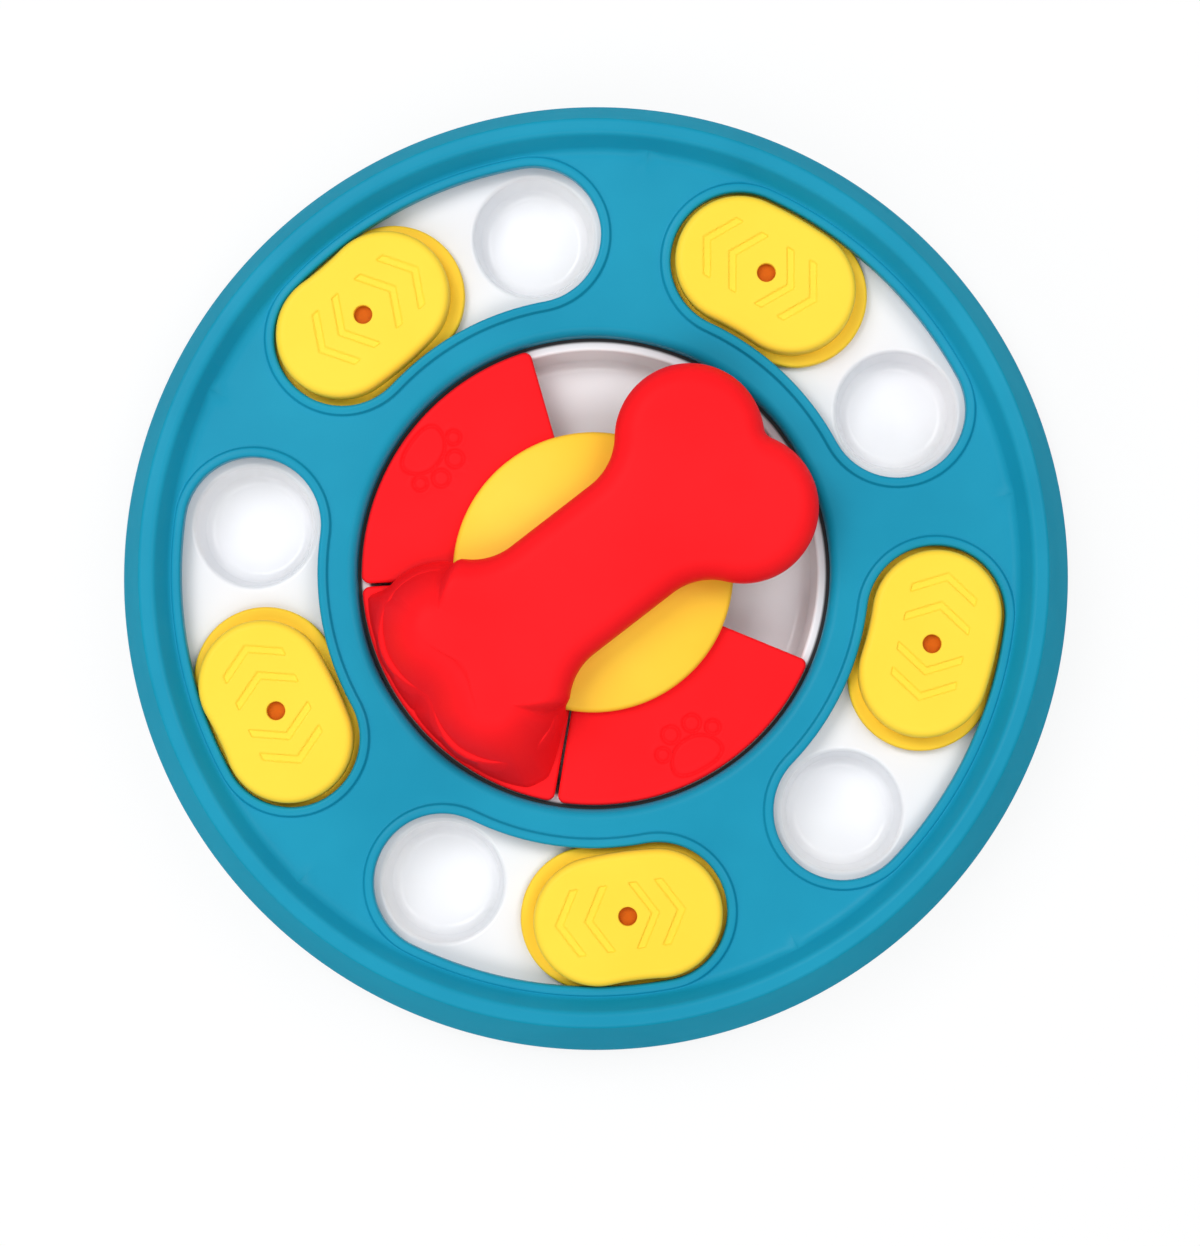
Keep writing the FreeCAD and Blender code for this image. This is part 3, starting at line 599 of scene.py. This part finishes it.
def make_tray():
    """Skin of the tray, above and below, with the trough and the hub turned round the disc's centre."""
    cup = path([(18.05, PLATFORM, 0), (15.75, PLATFORM, 2.3), (13.7, CUP_FLOOR, 3.0), (5.0, CUP_FLOOR, 0),
                (0.0, CUP_FLOOR, 0)], 11)
    under = path([(18.5, TRAY_UNDER, 0), (18.0, TRAY_UNDER, 0.4), (15.8, CUP_UNDER, 3.5), (5.0, CUP_UNDER, 0),
                  (0.0, CUP_UNDER, 0)], 6)
    border = cell_border(TRAY_INNER, TRAY_OUTER, 0.0, HALF_PITCH)
    centre = polar(TRACK, SLOT_SPAN)
    sheets = []
    for line, height in ((cup, PLATFORM), (under, TRAY_UNDER)):
        cell = holed_cell(centre, border, line, height)
        for slot in SLOTS:
            sheets += [(turned(cell, slot), True), (turned(mirrored(cell), slot), True)]
    flange_border = cell_border(FLANGE_INNER, FLANGE_OUTER, -6.0, 6.0, 8)
    bore = path([(4.4, FOOT, 0), (3.4, FOOT, 0.3), (3.4, 6.0, 0), (SCREW_BORE, 6.0, 0),
                 (SCREW_BORE, 8.2, 0), (0.0, 8.2, 0)], 3)
    flange = holed_cell(polar(SCREW_CIRCLE, 0.0), flange_border, bore, FOOT)
    plain = polar(np.linspace(FLANGE_OUTER, FLANGE_INNER, 9)[:, None],
                  np.arange(6.0, 66.5, RING_STEP)[None, :])
    for slot in SLOTS:
        sheets.append((turned(flange, slot + HALF_PITCH), True))
        sheets.append((turned(raised(plain, FOOT), slot + HALF_PITCH), False))
    ring = SLOTS[0] + np.arange(0, 360, RING_STEP)
    trough = path([(TRAY_INNER, PLATFORM, 0), (58.3, PLATFORM, 0.9), (56.5, TROUGH_FLOOR, 3.2),
                   (27.3, TROUGH_FLOOR, 3.2), (25.5, PLATFORM, 0.9), (HUB_BORE, PLATFORM, 0.5),
                   (HUB_BORE, 9.2, 0), (8.4, 9.2, 0.3), (8.4, TRAY_UNDER, 0.5), (23.3, TRAY_UNDER, 0.6),
                   (25.1, TROUGH_UNDER, 3.0), (58.7, TROUGH_UNDER, 3.0), (60.5, TRAY_UNDER, 0.6),
                   (TRAY_INNER, TRAY_UNDER, 0)], 7)
    side = path([(TRAY_OUTER, PLATFORM, 0), (110.8, PLATFORM, 0.7), (110.8, FLANGE_TOP, 0.4),
                 (122.3, FLANGE_TOP, 0.7), (122.3, FOOT, 0.7), (FLANGE_OUTER, FOOT, 0)], 5)
    inner_side = path([(FLANGE_INNER, FOOT, 0), (108.6, FOOT, 0.4), (108.6, TRAY_UNDER, 0.5),
                       (TRAY_OUTER, TRAY_UNDER, 0)], 4)
    sheets += [(revolved(line, ring), True) for line in (trough, side, inner_side)]
    return build("tray_skin", sheets)


dress(make_tray(), "base", "white_gloss", white_plastic, "food_tray")

# %% [markdown]
# ## Slider caps and plates
# Each slider is a hollow cap snapped onto a thin plate. The cap is a loop of rows: out over the top, down
# the side, up inside and back to the scent hole, so it closes on itself like a ring. The chevrons are
# pressed in as a height function of the distance to two slanted lines, fine enough to catch the light.
# The plate's peg fills the cap, and its top is the bottom of the hole; its dark orange-brown is painted shade
# of the hole. The plate's yellow is a little darker than the cap's: painted shade for its lower place.

# %% Caps
CAP_WALL, CAP_ROUND, HOLE, HOLE_ROUND = 1.8, 2.0, 2.4, 0.35
PLATE_SPAN, PLATE_WIDTH, PLATE_THICK = 5.9, 18.7, 3.0
PEG_WIDTH, PEG_GAP = 14.7, 0.3
CHEVRONS = (19.0, 11.4, -8.5, -15.2)
YAWS = (0.0, -1.0, 2.0, 2.0, -1.2)
REVERSED = (2, 3, 4)
MIDDLE = np.array([TRACK, 0.0])


def chevron_height(x, y):
    """Pressed chevrons: a soft-edged groove along |distance to the slanted arms| < half its width.

    The arms leave their point at 60 degrees to the cap's length and end 8.7 mm to each side of it.
    """
    slant, half, soft, depth, arm = math.radians(60.0), 1.1, 0.4, 0.55, 8.7
    height = np.zeros(np.broadcast(x, y).shape)
    for point in CHEVRONS:
        along = y if point > 0 else -y
        off = (along - abs(point) + np.abs(x - TRACK) / math.tan(slant)) * math.sin(slant) + half
        inside = np.clip((half - np.abs(off)) / soft, 0, 1) * np.clip((arm - np.abs(x - TRACK)) / soft, 0, 1)
        height -= depth * inside ** 2 * (3 - 2 * inside)
    return height


def slider_place(grid, number, reverse):
    """Turns a slider's grid from the +X axis to its place at one end of its slot."""
    yaw = YAWS[number - 1] + (180.0 if reverse and number in REVERSED else 0.0)
    return turned(turned(grid, yaw, MIDDLE), SLOTS[number - 1] + TRAVEL)


def make_cap(number):
    """Hollow cap: one closed loop of rows from the scent hole over the top and back inside."""
    centre, normal = bent_band(CAP_SPAN, breaks([0, 180], 1.5), 60)
    way = centre + normal * CAP_WIDTH - MIDDLE
    way = way / np.hypot(way[:, 0], way[:, 1])[:, None]
    quarter = np.radians(np.linspace(0, 90, 9))
    hole = (MIDDLE + way * HOLE)[None]
    rows = [raised(hole, CAP_TOP - CAP_WALL), raised(hole, CAP_TOP - HOLE_ROUND)]
    for turn in quarter[2::2]:
        radius = HOLE + HOLE_ROUND * (1 - math.cos(turn))
        rows.append(raised((MIDDLE + way * radius)[None], CAP_TOP - HOLE_ROUND + HOLE_ROUND * math.sin(turn)))
    first, last = MIDDLE + way * (HOLE + HOLE_ROUND), centre + normal * (CAP_WIDTH - CAP_ROUND)
    top = spread(first, last, np.linspace(0, 1, 58)[1:])
    rows.append(raised(top, CAP_TOP + chevron_height(top[..., 0], top[..., 1])))
    for turn in quarter[1:]:
        offset = CAP_WIDTH - CAP_ROUND * (1 - math.sin(turn))
        rows.append(raised((centre + normal * offset)[None], CAP_TOP - CAP_ROUND * (1 - math.cos(turn))))
    for offset, height in ((0, PLATE_TOP + 0.25), (0.07, PLATE_TOP + 0.07), (0.25, PLATE_TOP),
                           (CAP_WALL, PLATE_TOP), (CAP_WALL, CAP_TOP - CAP_WALL)):
        rows.append(raised((centre + normal * (CAP_WIDTH - offset))[None], height))
    ceiling = spread(centre + normal * (CAP_WIDTH - CAP_WALL), MIDDLE + way * HOLE, [0.5, 1])
    rows.append(raised(ceiling, CAP_TOP - CAP_WALL))
    cap = slider_place(np.vstack(rows), number, True)
    dress(build(f"slider_cap_skin_{number}", [(cap, True)]), f"slider_{number}", "yellow",
          yellow_plastic, f"slider_cap_{number}")


def make_plate(number):
    """Thin plate under the deck, with the peg that fills the cap and shows as the bottom of its hole."""
    turns = breaks([0, 180], 3.0)
    centre, normal = bent_band(PLATE_SPAN, turns)
    island, facing = bent_band(CAP_SPAN, turns)
    if number in REVERSED:
        half = len(island) // 2
        island = np.roll(turned(island, 180.0, MIDDLE), half, 0)
        facing = np.roll(-facing, half, 0)
    bottom = PLATE_TOP - PLATE_THICK
    lower_edge = [(-PLATE_WIDTH, 0), (-0.4, 0), (-0.12, 0.12), (0, 0.4)]
    upper_edge = [(0, 0.8), (-0.1, 0.42), (-0.28, 0.18), (-0.52, 0.05), (-0.8, 0), (-3.0, 0)]
    rows = []
    for offset, height in lower_edge + [(offset, PLATE_THICK - short) for offset, short in upper_edge]:
        rows.append(raised((centre + normal * (PLATE_WIDTH + offset))[None], bottom + height))
    peg = CAP_TOP - CAP_WALL - PEG_GAP - PLATE_TOP
    for offset, height in ((PEG_WIDTH, 0), (PEG_WIDTH, peg), (0, peg)):
        rows.append(raised((island + facing * offset)[None], PLATE_TOP + height))
    plate = slider_place(np.vstack(rows), number, False)
    # The plate's yellow is painted a little darker than the cap's, as shade.
    plate = dress(build(f"slider_plate_skin_{number}", [(plate, True)]), f"slider_{number}", "yellow",
                  plate_yellow_painted_shade, f"slider_plate_{number}")
    # The peg's top gets a dark orange-brown: painted shade at the bottom of the scent hole.
    second_finish(plate, hole_floor_painted_shade, lambda x, y, z: z > PLATE_TOP + 0.5)


for number in range(1, 6):
    make_cap(number)
    make_plate(number)

# %% [markdown]
# ## Loose covers
# Two red covers slide round the trough and hide the treats. Each is a sector of a ring with a rounded
# edge, a pressed paw print and two ribs below. A grid of radius by angle fits such a sector: the height
# comes from the distance to the edge, and the grid is fine only where the paw print lies.

# %% Paw print
COVER_INNER, COVER_OUTER, COVER_SPAN = 23.0, 60.4, 38.3
COVER_THICK, COVER_ROUND, CORNER = 2.5, 1.0, 2.0
RIBS, RIB_DEPTH, RIB_INTO = ((55.5, 57.3), (26.5, 28.3)), 3.0, 0.2
PAD_PLACE, PAD_LONG, PAD_WIDE, PAD_POWER = 54.0, 4.4, 6.7, 2.3
TOES = ((50.2, 7.4, 1.75), (46.6, 3.1, 2.15), (46.6, -3.1, 2.15), (50.2, -7.4, 1.75))


def paw_height(x, y):
    """Pressed outlines of a pad and four toes: a thin groove where the distance to an outline is nought.

    A toe is a circle. The pad is a superellipse 8.8 by 13.4 mm, narrower towards the disc's centre; the
    distance to it is taken along the ray from its middle. Beside the groove lies a slight raised line.
    """
    away = [np.hypot(x - toe_x, y - toe_y) - radius for toe_x, toe_y, radius in TOES]
    along, across = (x - PAD_PLACE) / PAD_LONG, y / PAD_WIDE
    across = across / (1 + 0.22 * np.clip(along, -1, 1))
    size = (np.abs(along) ** PAD_POWER + np.abs(across) ** PAD_POWER) ** (1 / PAD_POWER)
    away.append(np.hypot(x - PAD_PLACE, y) * (1 - 1 / np.maximum(size, 0.05)))
    nearest = np.min(away, 0)
    return 0.12 * np.exp(-((nearest - 1.0) / 0.45) ** 2) - 0.50 * np.exp(-(nearest / 0.42) ** 2)


print("paw print depth", round(-float(paw_height(TOES[0][0] + TOES[0][2], TOES[0][1])), 2), "mm")

# %% Sector plates
def sector_grid(radii, shares):
    """Grid of radius by share of the span; the span shrinks near the outer edge to round its corners."""
    deep = np.clip(radii - (COVER_OUTER - CORNER), 0, CORNER)
    cut = CORNER - np.sqrt(CORNER ** 2 - deep ** 2)
    half = COVER_SPAN - np.degrees(cut / radii)
    return polar(radii[:, None], half[:, None] * shares[None, :])


def sector_edge_distance(x, y):
    """Distance to the sector's edge, with the outer corners rounded."""
    radius, angle = np.hypot(x, y), np.degrees(np.arctan2(y, x))
    beside = np.radians(COVER_SPAN - np.abs(angle)) * radius
    outer, inner = COVER_OUTER - radius, radius - COVER_INNER
    corner = CORNER - np.hypot(np.maximum(CORNER - beside, 0), np.maximum(CORNER - outer, 0))
    outside = np.where((beside < CORNER) & (outer < CORNER), corner, np.minimum(beside, outer))
    return np.maximum(np.minimum(outside, inner), 0)


def edge_steps(width, count=6):
    """Steps from nought to a width, finer near nought, as a rounded edge needs them."""
    return width * (1 - np.cos(np.radians(np.linspace(0, 90, count))))


def bar(inner, outer, low, high, bottom, top, count=60):
    """Closed bar along an arc: its four sides, and an end cap that closes on the bar's middle line."""
    ring = np.array([(inner, bottom), (outer, bottom), (outer, top), (inner, top)])
    middle = ring.mean(0)
    angles = np.linspace(low, high, count)
    lines = [np.hstack([polar(radius, angles), np.full((count, 1), height)]) for radius, height in ring]
    grid = np.stack(lines, 1)
    ends = [np.tile(np.append(polar(middle[0], angle), middle[1]), (1, 4, 1)) for angle in (low, high)]
    return np.vstack([ends[0], grid, ends[1]])


def sector_sheets(fine, relief):
    """Top, edge and underside of a sector plate about +X, with its two ribs."""
    steps = edge_steps(COVER_ROUND)
    middle = np.arange(44.0, 59.0, 0.28) if fine else np.linspace(40, 56, 8)
    turn_in = COVER_OUTER - CORNER + CORNER * np.array([0, 0.3, 0.5])
    radii = np.concatenate([COVER_INNER + steps, np.linspace(26, 42, 8), middle, turn_in,
                            COVER_OUTER - steps[::-1]])
    radii = np.unique(np.round(radii, 4))
    edge = steps / (COVER_OUTER * math.radians(COVER_SPAN))
    inner = np.linspace(-0.3, 0.3, 112) if fine else np.linspace(-0.3, 0.3, 12)
    shares = np.concatenate([-1 + edge, np.linspace(-0.93, -0.34, 14), inner, np.linspace(0.34, 0.93, 14),
                             1 - edge[::-1]])
    plan = sector_grid(radii, shares)
    x, y = plan[..., 0], plan[..., 1]
    short = np.clip(COVER_ROUND - sector_edge_distance(x, y), 0, COVER_ROUND)
    fall = COVER_ROUND - np.sqrt(np.maximum(COVER_ROUND ** 2 - short ** 2, 0))
    top = raised(plan, COVER_TOP - fall + (relief(x, y) if relief else 0.0))
    under = raised(plan, COVER_TOP - COVER_THICK)
    loops = []
    for grid in (top, under):
        loops.append(np.vstack([grid[0, :-1], grid[:-1, -1], grid[-1, :0:-1], grid[:0:-1, 0]]))
    sheets = [(top, False), (under, False), (np.stack(loops), True)]
    bottom = COVER_TOP - COVER_THICK
    for low, high in RIBS:
        rib = bar(low, high, 2 - COVER_SPAN, COVER_SPAN - 2, bottom - RIB_DEPTH, bottom + RIB_INTO)
        sheets.append((rib, True))
    return sheets


def make_cover(name, angle):
    """Loose cover with its paw print, turned to its place."""
    sheets = [(turned(grid, angle), wrap) for grid, wrap in sector_sheets(True, paw_height)]
    dress(build(f"{name}_skin", sheets), name, "red", red_plastic, name)


make_cover("cover_left", 144.3)
make_cover("cover_right", 299.3)

# %% [markdown]
# ## Dome
# The yellow dome is a turned shape: a crown, a rounded edge, a hollow underside with the bearing ring,
# and the spigot that runs in the tray's hub. One path turned round the Z axis makes all of it.

# %% Dome
CROWN_DROP, DOME_UNDER, SPIGOT = 5.0, 22.6, 5.9


def crown_height(radius):
    """Height of the dome's crown: a sphere through the top and the shoulder 5 mm lower."""
    sphere = (DOME_RADIUS ** 2 + CROWN_DROP ** 2) / (2 * CROWN_DROP)
    return CREST - sphere + np.sqrt(sphere ** 2 - np.minimum(radius, DOME_RADIUS) ** 2)


def make_dome():
    """Crown, edge, underside, bearing ring and spigot as one turned path."""
    spigot_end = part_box("pivot_washer")[1][2] / MM
    out = [(radius, crown_height(radius), 0) for radius in np.linspace(0, 33.5, 24)]
    out += [(DOME_RADIUS, crown_height(DOME_RADIUS), 1.6), (DOME_RADIUS, DOME_UNDER, 0.3),
            (34.2, DOME_UNDER, 0.3), (34.2, 24.6, 0.5), (18.5, 27.2, 0.5), (18.5, 19.8, 0.2),
            (16.7, 19.8, 0.2), (16.7, 27.4, 0.5), (SPIGOT, 28.4, 0.5),
            (SPIGOT, spigot_end, 0.3), (0.0, spigot_end, 0)]
    return build("dome_skin", [(revolved(path(out, 8), np.arange(0, 360, 2.0)), True)])


dress(make_dome(), "turntable", "yellow", dome_plastic, "turntable_dome")

# %% [markdown]
# ## Bone
# The bone is the handle that turns the middle. Its outline is arcs only: two lobes and a notch at each
# end, hollow shoulders and a straight shaft. Every arc knows its normal, so the rounded side is the same
# outline moved inwards and upwards. The lower left end runs down into its own cover in a soft flare, which
# is a wall of rows whose reach outwards is limited by the cover's edge.

# %% Bone outline
LOBE_END, LOBE_SIDE, LOBE = 40.3, 11.3, 19.2
SHAFT, SHOULDER, NOTCH = 17.3, 16.0, 3.0
NOTCH_X = LOBE_END + math.sqrt((LOBE + NOTCH) ** 2 - LOBE_SIDE ** 2)
SHOULDER_X = LOBE_END - math.sqrt((LOBE + SHOULDER) ** 2 - (SHAFT + SHOULDER - LOBE_SIDE) ** 2)
BONE_COVER = 221.8


def arc_run(centre, radius, first, last, hollow):
    """Points and outward normals along an arc; on a hollow arc the normal points to its centre."""
    count = max(3, int(abs(last - first) * radius * math.pi / 180 / 0.9))
    way = polar(1.0, np.linspace(first, last, count))
    return np.asarray(centre) + radius * way, -way if hollow else way


def bone_edge():
    """Closed outline of the bone along X with its normals, from one quarter and its mirror images."""
    shoulder, lobe, notch = (SHOULDER_X, SHAFT + SHOULDER), (LOBE_END, LOBE_SIDE), (NOTCH_X, 0.0)
    up = math.degrees(math.atan2(shoulder[1] - lobe[1], shoulder[0] - lobe[0]))
    down = math.degrees(math.atan2(notch[1] - lobe[1], notch[0] - lobe[0]))
    shaft = np.stack([np.linspace(0, SHOULDER_X, 10), np.full(10, SHAFT)], -1)
    runs = [(shaft, np.tile([0.0, 1.0], (10, 1))), arc_run(shoulder, SHOULDER, -90.0, up - 180.0, True),
            arc_run(lobe, LOBE, up, down, False), arc_run(notch, NOTCH, down + 180.0, 180.0, True)]
    quarter = [np.vstack([run[part][:-1] for run in runs[:-1]] + [runs[-1][part]]) for part in (0, 1)]
    flips = np.array([[1, 1], [1, -1], [-1, -1], [-1, 1]])
    loop = []
    for part in quarter:
        pieces = [(part[::-1] if index % 2 else part) * flip for index, flip in enumerate(flips)]
        loop.append(np.vstack([piece[:-1] for piece in pieces]))
    return loop


edge, edge_normal = bone_edge()
print("bone outline:", len(edge), "points, half length", round(edge[:, 0].max(), 2), "mm")

# %% Bone, flare and its cover
BONE_ROUND, LOW_ROUND, TOP_DROP = 7.0, 4.0, 0.5
FLARE_START, FLARE_RUN, EDGE_ROOM = 33.0, 7.0, 1.0
BONE_INSIDE = 33.4


def smooth(share):
    """Smooth step: 3 s^2 - 2 s^3 for s between 0 and 1."""
    share = np.clip(share, 0, 1)
    return share ** 2 * (3 - 2 * share)


def free_side(count):
    """Side of the bone where it stands free, as (inset, height): quarter circle, wall, quarter circle."""
    top = np.radians(np.linspace(0, 90, count // 2))
    low = np.radians(np.linspace(90, 35, count - count // 2))
    inset = np.concatenate([BONE_ROUND * (1 - np.sin(top)), LOW_ROUND * (1 - np.sin(low))])
    height = np.concatenate([BONE_TOP - TOP_DROP - BONE_ROUND * (1 - np.cos(top)),
                             BONE_UNDER + LOW_ROUND * (1 - np.cos(low))])
    return inset, height


def flared_side(count, outset, foot):
    """Side that runs down into the cover: a cubic Bezier curve, gentle at the top, steep at the foot."""
    t = np.linspace(0, 1, count)[:, None]
    weights = [(1 - t) ** 3, 3 * t * (1 - t) ** 2, 3 * t ** 2 * (1 - t), t ** 3]
    insets = (14.5, 8.5, 2.6, -outset)
    heights = (BONE_TOP - 0.9, BONE_TOP - 2.0, foot + 11.0, foot)
    return sum(w * i for w, i in zip(weights, insets)), sum(w * h for w, h in zip(weights, heights))


def make_bone(count=22):
    """Bone skin and own cover in one mesh.

    On the lower left end the side blends from the free one to the flared one. The flare's reach outwards
    is what is left to the cover's edge; past the cover's end the foot stays above the loose cover.
    """
    world = turned(edge, BONE_ANGLE)
    radius = np.hypot(world[:, 0], world[:, 1])
    angle = (np.degrees(np.arctan2(world[:, 1], world[:, 0])) - BONE_COVER + 180) % 360 - 180
    flared = np.where(edge[:, 0] < 0, smooth((radius - FLARE_START) / FLARE_RUN), 0.0)
    side_room = np.radians(COVER_SPAN - 1.2 - np.abs(angle)) * radius
    room = np.clip(np.minimum(COVER_OUTER - EDGE_ROOM - radius, side_room), -1.2, 4.5)
    room = np.where(np.abs(edge[:, 1]) < 2.5, np.minimum(room, 2.4), room)
    owned = smooth(side_room / 1.5 + 0.5)
    room = np.where(owned > 0.01, room, -0.6) * flared
    foot = COVER_TOP + 0.05 + 1.9 * (1 - owned)

    free_inset, free_height = free_side(count)
    inset, height = flared_side(count, room[None, :], foot[None, :])
    inset = free_inset[:, None] * (1 - flared) + inset * flared
    height = free_height[:, None] * (1 - flared) + height * flared
    foot_inset = inset[-1] * flared + 2.6 * (1 - flared)
    foot_height = (height[-1] - 0.5 * owned) * flared + 29.2 * (1 - flared)
    ones = np.ones(len(edge))
    inset = np.vstack([inset, foot_inset, 2.8 * ones, 3.4 * ones])
    height = np.vstack([height, foot_height, (BONE_INSIDE - 0.6) * ones, BONE_INSIDE * ones])
    plan = edge[None] - edge_normal[None] * inset[..., None]
    side = np.dstack([plan, height])
    spine = np.stack([np.clip(edge[:, 0], -LOBE_END, LOBE_END), np.zeros(len(edge))], -1)
    shares = np.linspace(0, 1, 11)[:-1]
    fall = BONE_TOP - height[0]
    over = raised(spread(spine, plan[0], shares), BONE_TOP - fall[None, :] * shares[:, None] ** 2)
    bone = turned(np.vstack([over, side, raised(spine[None], BONE_INSIDE)]), BONE_ANGLE)
    crest = crown_height(np.hypot(bone[..., 0], bone[..., 1])) + 0.05
    on_dome = np.hypot(bone[..., 0], bone[..., 1]) < DOME_RADIUS + 0.3
    bone[..., 2] = np.where(on_dome, np.maximum(bone[..., 2], crest), bone[..., 2])
    sheets = [(bone, True)]
    sheets += [(turned(grid, BONE_COVER), wrap) for grid, wrap in sector_sheets(False, None)]
    return build("bone_skin", sheets)


dress(make_bone(), "turntable", "red", red_plastic, "bone_handle")

# %% [markdown]
# ## Floor, light and camera
# The photo is a plain catalogue picture: white all round, with soft light from above. Four square lamps
# stand high round the toy, so that no mirror image of a lamp falls on the flat tops. The floor shows
# white to the camera and to reflections but still takes the toy's shadow. The lamps stay at the level
# where a colour comes out as it is written.

# %% Floor and backdrop
def white_stage_material():
    """White to camera, glossy and transmitted rays, mixed with a diffuse floor that takes shadows."""
    material = bpy.data.materials.new("stage_white")
    material.use_nodes = True
    tree = material.node_tree
    tree.nodes.clear()
    paths = tree.nodes.new("ShaderNodeLightPath").outputs
    seen = math_node(tree, "ADD", paths["Is Camera Ray"], paths["Is Glossy Ray"])
    seen = math_node(tree, "MINIMUM", math_node(tree, "ADD", seen, paths["Is Transmission Ray"]), 1.0)
    glow, matt = tree.nodes.new("ShaderNodeEmission"), tree.nodes.new("ShaderNodeBsdfDiffuse")
    glow.inputs["Strength"].default_value = 1.0
    matt.inputs["Color"].default_value = (0.92, 0.92, 0.92, 1)
    mix, out = tree.nodes.new("ShaderNodeMixShader"), tree.nodes.new("ShaderNodeOutputMaterial")
    tree.links.new(math_node(tree, "MULTIPLY", seen, 0.85), mix.inputs["Fac"])
    tree.links.new(matt.outputs["BSDF"], mix.inputs[1])
    tree.links.new(glow.outputs["Emission"], mix.inputs[2])
    tree.links.new(mix.outputs["Shader"], out.inputs["Surface"])
    return material


def make_floor(half=3.0, bend=0.8, height=2.5):
    """Floor that bends up into a backdrop behind the toy: a path along Y carried across X."""
    line = path([(-half, 0, 0), (half, 0, bend), (half, height, 0)], 16)
    across = np.linspace(-half, half, 3)
    parts = (across[None, :], line[:, :1], line[:, 1:])
    grid = np.dstack([np.broadcast_to(part, (len(line), 3)) for part in parts])
    mesh = bpy.data.meshes.new("studio_floor")
    mesh.from_pydata(grid.reshape(-1, 3), [], quads(len(line), 3, False))
    mesh.shade_smooth()
    floor = bpy.data.objects.new("studio_floor", mesh)
    bpy.context.scene.collection.objects.link(floor)
    floor.data.materials.append(white_stage_material())
    print(f"studio_floor: {len(mesh.polygons)} faces")


make_floor()

# %% World and lamps
world = bpy.data.worlds.new("studio")
world.use_nodes = True
bpy.context.scene.world = world
tree = world.node_tree
tree.nodes.clear()
paths = tree.nodes.new("ShaderNodeLightPath").outputs
fill, white = tree.nodes.new("ShaderNodeBackground"), tree.nodes.new("ShaderNodeBackground")
fill.inputs["Color"].default_value, fill.inputs["Strength"].default_value = (0.96, 0.98, 1.0, 1), 0.27
white.inputs["Color"].default_value, white.inputs["Strength"].default_value = (1, 1, 1, 1), 1.0
mix, out = tree.nodes.new("ShaderNodeMixShader"), tree.nodes.new("ShaderNodeOutputWorld")
tree.links.new(paths["Is Camera Ray"], mix.inputs["Fac"])
tree.links.new(fill.outputs["Background"], mix.inputs[1])
tree.links.new(white.outputs["Background"], mix.inputs[2])
tree.links.new(mix.outputs["Shader"], out.inputs["Surface"])


LAMP_SIZE, LAMP_TARGET = 0.8, Vector((0.0, 0.0, 0.02))


def softbox(name, place, power):
    """Square area lamp at a place, facing the toy."""
    data = bpy.data.lights.new(name, "AREA")
    data.shape, data.size, data.energy = "SQUARE", LAMP_SIZE, power
    lamp = bpy.data.objects.new(name, data)
    lamp.location = place
    lamp.rotation_euler = (LAMP_TARGET - Vector(place)).to_track_quat("-Z", "Y").to_euler()
    bpy.context.scene.collection.objects.link(lamp)


softbox("key_softbox", (-0.65, 0.58, 1.55), 13.4)
softbox("side_softbox", (0.80, 0.40, 1.50), 8.4)
softbox("front_softbox", (0.10, -0.85, 1.50), 6.7)
softbox("low_softbox", (-0.90, -0.80, 1.15), 4.5)

bpy.context.scene.view_settings.view_transform = "Standard"
print("lamps:", len(bpy.data.lights))

# %% Camera
CAMERA_PLACE = Vector((0.020, -0.050, 0.900))
CAMERA_TARGET = Vector((0.00128, -0.0122, 0.0))
camera_data = bpy.data.cameras.new("camera")
camera_data.sensor_width = 36.0
camera_data.lens = 97.7
camera = bpy.data.objects.new("camera", camera_data)
back = (CAMERA_PLACE - CAMERA_TARGET).normalized()
right = Vector((0, 1, 0)).cross(back).normalized()
up = back.cross(right)
camera.matrix_world = Matrix(((right.x, up.x, back.x, CAMERA_PLACE.x),
                              (right.y, up.y, back.y, CAMERA_PLACE.y),
                              (right.z, up.z, back.z, CAMERA_PLACE.z), (0, 0, 0, 1)))
bpy.context.scene.collection.objects.link(camera)
bpy.context.scene.camera = camera
print("camera lens", camera_data.lens, "mm")
